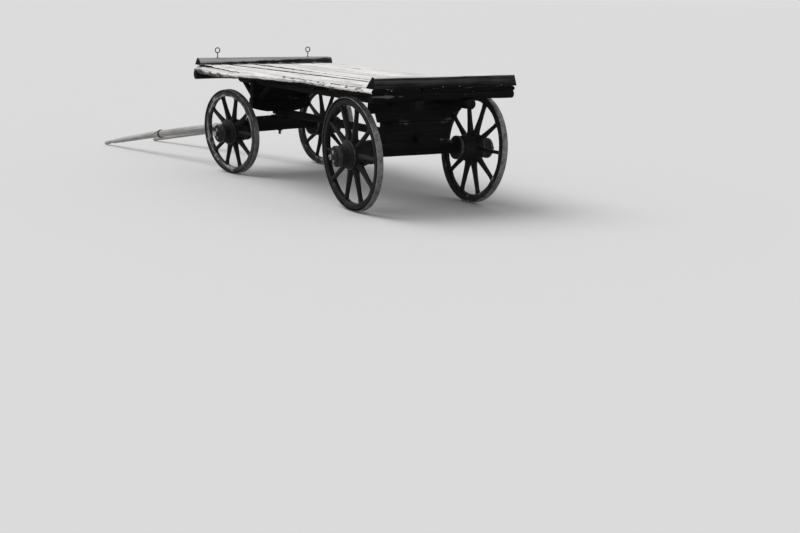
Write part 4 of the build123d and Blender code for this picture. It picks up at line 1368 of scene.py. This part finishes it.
def buildHubBands(rootHeight):
    low, high = wheels["hubEnds"]
    radii = wheels["hubRadii"]
    thick = wheels["bandThickness"]
    bands = [
        (low, wheels["innerBand"], radii["inner"]), (rootHeight, wheels["bellyBand"], radii["belly"]),
        (high, wheels["noseBand"], radii["nose"]),
    ]
    parts = []
    for place, (start, end), radius in bands:
        outer = radius + wheels["seat"] + thick
        band = ring("band", place + start, place + end, radius - 0.001, outer, 48)
        parts.append(dressed(grainAround(band, wheels["grainRadius"]), darkIron))
    return joined("hubBands", parts)


def buildSpokes(felloeInner, rootHeight):
    start = wheels["spokeStart"]
    lean = math.tan(wheels["dish"])
    end = felloeInner + 0.003
    parts = []
    for number in range(wheels["spokes"]):
        rows = []
        for share, halfWidth, halfDepth, roundness in spokeShape:
            reach = mix(start, end, share)
            across = rootHeight + reach * lean
            rows.append((reach, shavedSection(halfWidth, halfDepth, roundness, 16, 0, across)))
        spoke = lumpy(addMember("spoke", rows, 26, 1, False), 0.0014, 8, 20)
        turn = Matrix.Rotation(2 * math.pi * number / wheels["spokes"], 4, "Z")
        parts.append(dressed(placed(spoke, turn), woods["wheelWood"]))
    return joined("spokes", parts)


def buildFelloes(inner, outer, tone):
    half = wheels["felloeWidth"] / 2
    gap = wheels["jointGap"] / outer
    span = 2 * math.pi / wheels["felloes"]
    leastCut, moreCut = wheels["chamfer"]
    steps = 12
    parts = []
    for number in range(wheels["felloes"]):
        rows = []
        for step in range(steps + 1):
            share = step / steps
            between = abs(math.sin(share * 2 * math.pi)) ** 0.5  # stop chamfers end beside each spoke
            cut = leastCut + moreCut * between
            section = [
                (half, outer), (half, inner + cut), (half - cut, inner), (-half + cut, inner),
                (-half, inner + cut), (-half, outer),
            ]
            rows.append((gap / 2 + share * (span - gap), section))
        felloe = addMember("felloe", rows, 35, 3)
        lumpy(felloe, 0.0012, 12, 25)
        places = []
        grain = felloe.data.attributes["grain"].data
        for vertex, place in zip(felloe.data.vertices, grain):
            turn, across, radius = vertex.co
            places.append((place.vector[0] + turn * wheels["grainRadius"], across, radius))
            radius = min(radius, outer)
            vertex.co = (radius * math.cos(turn), radius * math.sin(turn), across)
        setValues(felloe, "grain", places, "FLOAT_VECTOR")
        setValues(felloe, "tone", [tone + chance.uniform(-0.2, 0.2)] * len(places))
        turn = Matrix.Rotation(number * span, 4, "Z")
        parts.append(dressed(placed(felloe, turn), woods["felloeWood"]))
    return joined("felloes", parts)


def buildTyre(radius, felloeInner):
    half = wheels["tyreWidth"] / 2
    inner = radius - wheels["tyreThickness"]
    rows = [
        (-half, inner), (-half, radius - 0.003), (-half + 0.0015, radius - 0.001),
        (-half + 0.005, radius), (0, radius), (half - 0.005, radius), (half - 0.0015, radius - 0.001),
        (half, radius - 0.003), (half, inner), (-half, inner),
    ]
    tyre = grainAround(addTurned("tyre", rows, 120), wheels["grainRadius"])
    # The running face is polished lighter, and the rounded edges beside it are lighter still as a painted
    # highlight
    facePolish, edgePolishAndHighlight = wheels["treadPolishAndHighlight"]
    tread = []
    for vertex in tyre.data.vertices:
        away = radius - math.hypot(vertex.co.x, vertex.co.y)
        shine = edgePolishAndHighlight if away > 0.0005 else facePolish
        tread.append(shine if away < 0.0035 else 0.0)
    setValues(tyre, "edge", tread)
    parts = [dressed(tyre, tyreIron)]
    span = 2 * math.pi / wheels["felloes"]
    rise = Matrix.Translation((felloeInner + wheels["boltRise"], 0, 0))
    inward = Matrix.Rotation(-math.pi / 2, 4, "Y")
    for number in range(wheels["felloes"]):
        for offset in (-wheels["boltTurn"], wheels["boltTurn"]):
            place = Matrix.Rotation(number * span + offset, 4, "Z") @ rise @ inward
            bolt = addHead(wheels["boltSize"], wheels["boltDome"], 4, place)
            parts.append(dressed(bolt, darkIron))
    return joined("tyre", parts)


def buildWheel(corner):
    end, side = corner.split("_")
    radius = wheels["radii"][end]
    felloeOuter = radius - wheels["tyreThickness"]
    felloeInner = felloeOuter - wheels["felloeDepth"]
    rootHeight = -felloeInner * math.sin(wheels["dish"])
    tone = wheels["felloeTone"][corner]
    place = wheelFrame(corner)
    body = "wheel_" + corner
    short = end + side.capitalize()
    made = [
        (buildHub(rootHeight), "Hub", "_hub", "wheel_wood", 35),
        (buildHubBands(rootHeight), "HubBands", "_hub_bands", "wrought_iron", 35),
        (buildSpokes(felloeInner, rootHeight), "Spokes", "_spokes", "wheel_wood", 50),
        (buildFelloes(felloeInner, felloeOuter, tone), "Felloes", "_felloes", "wheel_wood", 38),
        (buildTyre(radius, felloeInner), "Tyre", "_tyre", "wrought_iron", 35),
    ]
    for piece, title, ending, slotName, smooth in made:
        placed(piece, place)
        piece.name = short + title
        finished(piece, body, [corner + ending], smooth)


for cornerName in ("rear_left", "rear_right", "front_left", "front_right"):
    buildWheel(cornerName)
print("wheels built")

# Pole shafts with their withy bindings
shafts = {
    "length": 2.74,
    "butt": 0.0493,
    "straight": 0.143,
    "radii": [(0.0493, 0.040), (0.143, 0.040), (0.9, 0.039), (1.8, 0.035), (2.74, 0.023)],
    "bow": 0.024,
    "drawIn": 0.045,
    "pivotHeight": 0.470,
    "knots": {
        "left": [(0.46, 1.2), (0.83, 3.9), (1.16, 2.1), (1.74, 0.4), (2.02, 2.8), (2.33, 5.2)],
        "right": [(0.38, 2.4), (0.66, 0.7), (1.21, 1.9), (1.48, 4.4), (1.93, 1.0), (2.26, 3.1)],
    },
    "knotHeight": 0.007,
    "knotSize": 0.022,
    "notch": (2.56, 2.66, 0.007),  # from, to and depth, on the left shaft
}
bindings = {
    "places": {"left": 1.50, "right": 0.95},
    "turns": 3,
    "pitch": 0.0085,
    "thickness": 0.0042,
    "standOff": 0.0052,
    "tails": {"left": 0.12, "right": 0.05},
}


def shaftFrame(name):
    reach = math.hypot(shafts["length"], shafts["radii"][-1][1])
    slope = math.asin(shafts["pivotHeight"] / reach) - math.atan(shafts["radii"][-1][1] / shafts["length"])
    hinge = Vector(joints[name + "_shaft_hinge"]["pos_m"])
    turned = Matrix.Rotation(gearTurn, 4, "Z") @ Matrix.Rotation(slope, 4, "Y")
    return Matrix.Translation(hinge) @ turned


def shaftCentre(side, station):
    share = max(0, station - shafts["straight"]) / (shafts["length"] - shafts["straight"])
    bow = shafts["bow"] * math.sin(math.pi * share)
    drawIn = shafts["drawIn"] * max(0, station - shafts["straight"]) / shafts["length"]
    return side * (bow - drawIn), 0.7 * bow


def shaftRadius(station):
    for low, high in zip(shafts["radii"], shafts["radii"][1:]):
        if station <= high[0]:
            return mix(low[1], high[1], (station - low[0]) / (high[0] - low[0]))
    return shafts["radii"][-1][1]


def buildShaft(side, name):
    place = shaftFrame(name)
    rows = []
    for step in range(25):
        station = mix(shafts["butt"], shafts["length"], step / 24)
        across, up = shaftCentre(side, station)
        rows.append((station, roundSection(shaftRadius(station), 20, across, up)))
    pole = addMember(name + "Shaft", rows, 150, 1, False)
    notchLow, notchHigh, notchDepth = shafts["notch"]
    for vertex in pole.data.vertices:
        station = vertex.co.x
        if station < 0.13:  # the butt stays as its ferrule needs it
            continue
        across, up = shaftCentre(side, station)
        turn = math.atan2(vertex.co.z - up, vertex.co.y - across)
        out = Vector((0, math.cos(turn), math.sin(turn)))
        for knotAt, knotTurn in shafts["knots"][name]:
            between = (turn - knotTurn + math.pi) % (2 * math.pi) - math.pi
            away = math.hypot(station - knotAt, 0.035 * between)
            vertex.co += out * shafts["knotHeight"] * math.exp(-((away / shafts["knotSize"]) ** 2))
        if name == "left" and notchLow < station < notchHigh and out.z < 0.2:
            vertex.co -= out * notchDepth
    roughEnds(lumpy(pole, 0.003, 2.5, 12), 0.003)
    dressed(placed(pole, place), woods["poleWood"])
    for vertex in pole.data.vertices:
        vertex.co.z = max(vertex.co.z, 0.0)
    finished(pole, "shaft_" + name, [name + "_shaft"], 50)


def buildBinding(side, name):
    place = shaftFrame(name)
    station = bindings["places"][name]
    radius = shaftRadius(station)
    parts = []
    for turn in range(bindings["turns"]):
        tilt = (0, math.pi / 2 + chance.uniform(-0.12, 0.12), chance.uniform(-0.1, 0.1))
        loop = addLoop(radius + bindings["standOff"], bindings["thickness"], tilt, 36, 10)
        lumpy(grainAround(loop, 0.05, "YZX", 20), 0.0012, 60, 120)
        at = station + turn * bindings["pitch"]
        across, up = shaftCentre(side, at)
        spot = Matrix.Translation((at, across, up))
        parts.append(dressed(placed(loop, place @ spot), woods["withy"]))
    across, up = shaftCentre(side, station)
    tail = bindings["tails"][name]
    rows = [
        (0, roundSection(bindings["thickness"], 8)), (tail * 0.4, roundSection(0.0040, 8, 0.004, -0.003)),
        (tail * 0.75, roundSection(0.0036, 8, 0.012, -0.010)),
        (tail, roundSection(0.0024, 8, 0.024, -0.014)),
    ]
    loose = lumpy(addMember("withyTail", rows, 16, 1, False), 0.0008, 40, 100)
    stand = Matrix.Translation((station + 0.012, across, up + radius + 0.006))
    aside = Matrix.Rotation(side * 1.1, 4, "Z") @ Matrix.Rotation(0.35, 4, "Y")
    parts.append(dressed(placed(loose, place @ stand @ aside), woods["withy"]))
    finished(joined(name + "Binding", parts), "shaft_" + name, [], 50)


for sideSign, sideName in ((1, "left"), (-1, "right")):
    buildShaft(sideSign, sideName)
    buildBinding(sideSign, sideName)
print("shafts hung")

# Ironwork kept from the frame gets its finish
keptIron = ["kingpin", "turn_plate", "shaft_brackets", "shaft_pins", "left_shaft_eye", "right_shaft_eye"]
for nodeName in keptIron:
    node = frame["nodes"][nodeName]
    for materialSlot in node.material_slots:
        materialSlot.material = darkIron
print("ironwork finished")

# Floor, light and camera
stage = {
    "floorSize": 900,
    "floorTone": 0.50,
    "floorRoughness": 0.9,
    "floorShine": 0.1,
    "skyStrength": 0.72,
    "lampHeight": 8,
    "lampTurn": (-22, 26, 0),
    "lampSpread": 45,
    "lampStrength": 2.6,
}
view = {
    "lens": 58.5,
    "sensor": 36,
    "behindKingpin": -12.05535,
    "leftOfKingpin": 5.85191,
    "height": 1.82957,
    "yaw": -0.546,
    "pitch": 0.20974,
    "roll": 0.01769,
}


def buildStage():
    clearSelection()
    bpy.ops.mesh.primitive_plane_add(size=stage["floorSize"], location=(0, 0, 0))
    ground = bpy.context.object
    ground.name = "paleFloor"
    material, _, shader = startMaterial("paleFloor")
    shader.inputs["Base Color"].default_value = grey(stage["floorTone"], 0.0)
    shader.inputs["Roughness"].default_value = stage["floorRoughness"]
    shader.inputs["Specular IOR Level"].default_value = stage["floorShine"]
    dressed(ground, material)
    world = bpy.data.worlds.new("softSky")
    bpy.context.scene.world = world
    world.use_nodes = True
    sky = world.node_tree.nodes["Background"]
    sky.inputs["Color"].default_value = (1, 1, 1, 1)
    sky.inputs["Strength"].default_value = stage["skyStrength"]
    clearSelection()
    lean = [math.radians(angle) for angle in stage["lampTurn"]]
    bpy.ops.object.light_add(type="SUN", location=(0, 0, stage["lampHeight"]), rotation=lean)
    lamp = bpy.context.object
    lamp.name = "softLamp"
    lamp.data.angle = math.radians(stage["lampSpread"])
    lamp.data.energy = stage["lampStrength"]


def buildCamera():
    clearSelection()
    place = (kingpin.x + view["behindKingpin"], kingpin.y + view["leftOfKingpin"], view["height"])
    bpy.ops.object.camera_add(location=place)
    camera = bpy.context.object
    camera.name = "photoView"
    turn = (
        Matrix.Rotation(view["yaw"] - math.pi / 2, 3, "Z")
        @ Matrix.Rotation(math.pi / 2 - view["pitch"], 3, "X")
        @ Matrix.Rotation(view["roll"], 3, "Z")
    )
    camera.rotation_euler = turn.to_euler()
    camera.data.lens = view["lens"]
    camera.data.sensor_width = view["sensor"]
    camera.data.clip_end = 200
    bpy.context.scene.camera = camera
    bpy.context.scene.view_settings.view_transform = "Standard"


buildStage()
buildCamera()
print("stage, light and camera set")
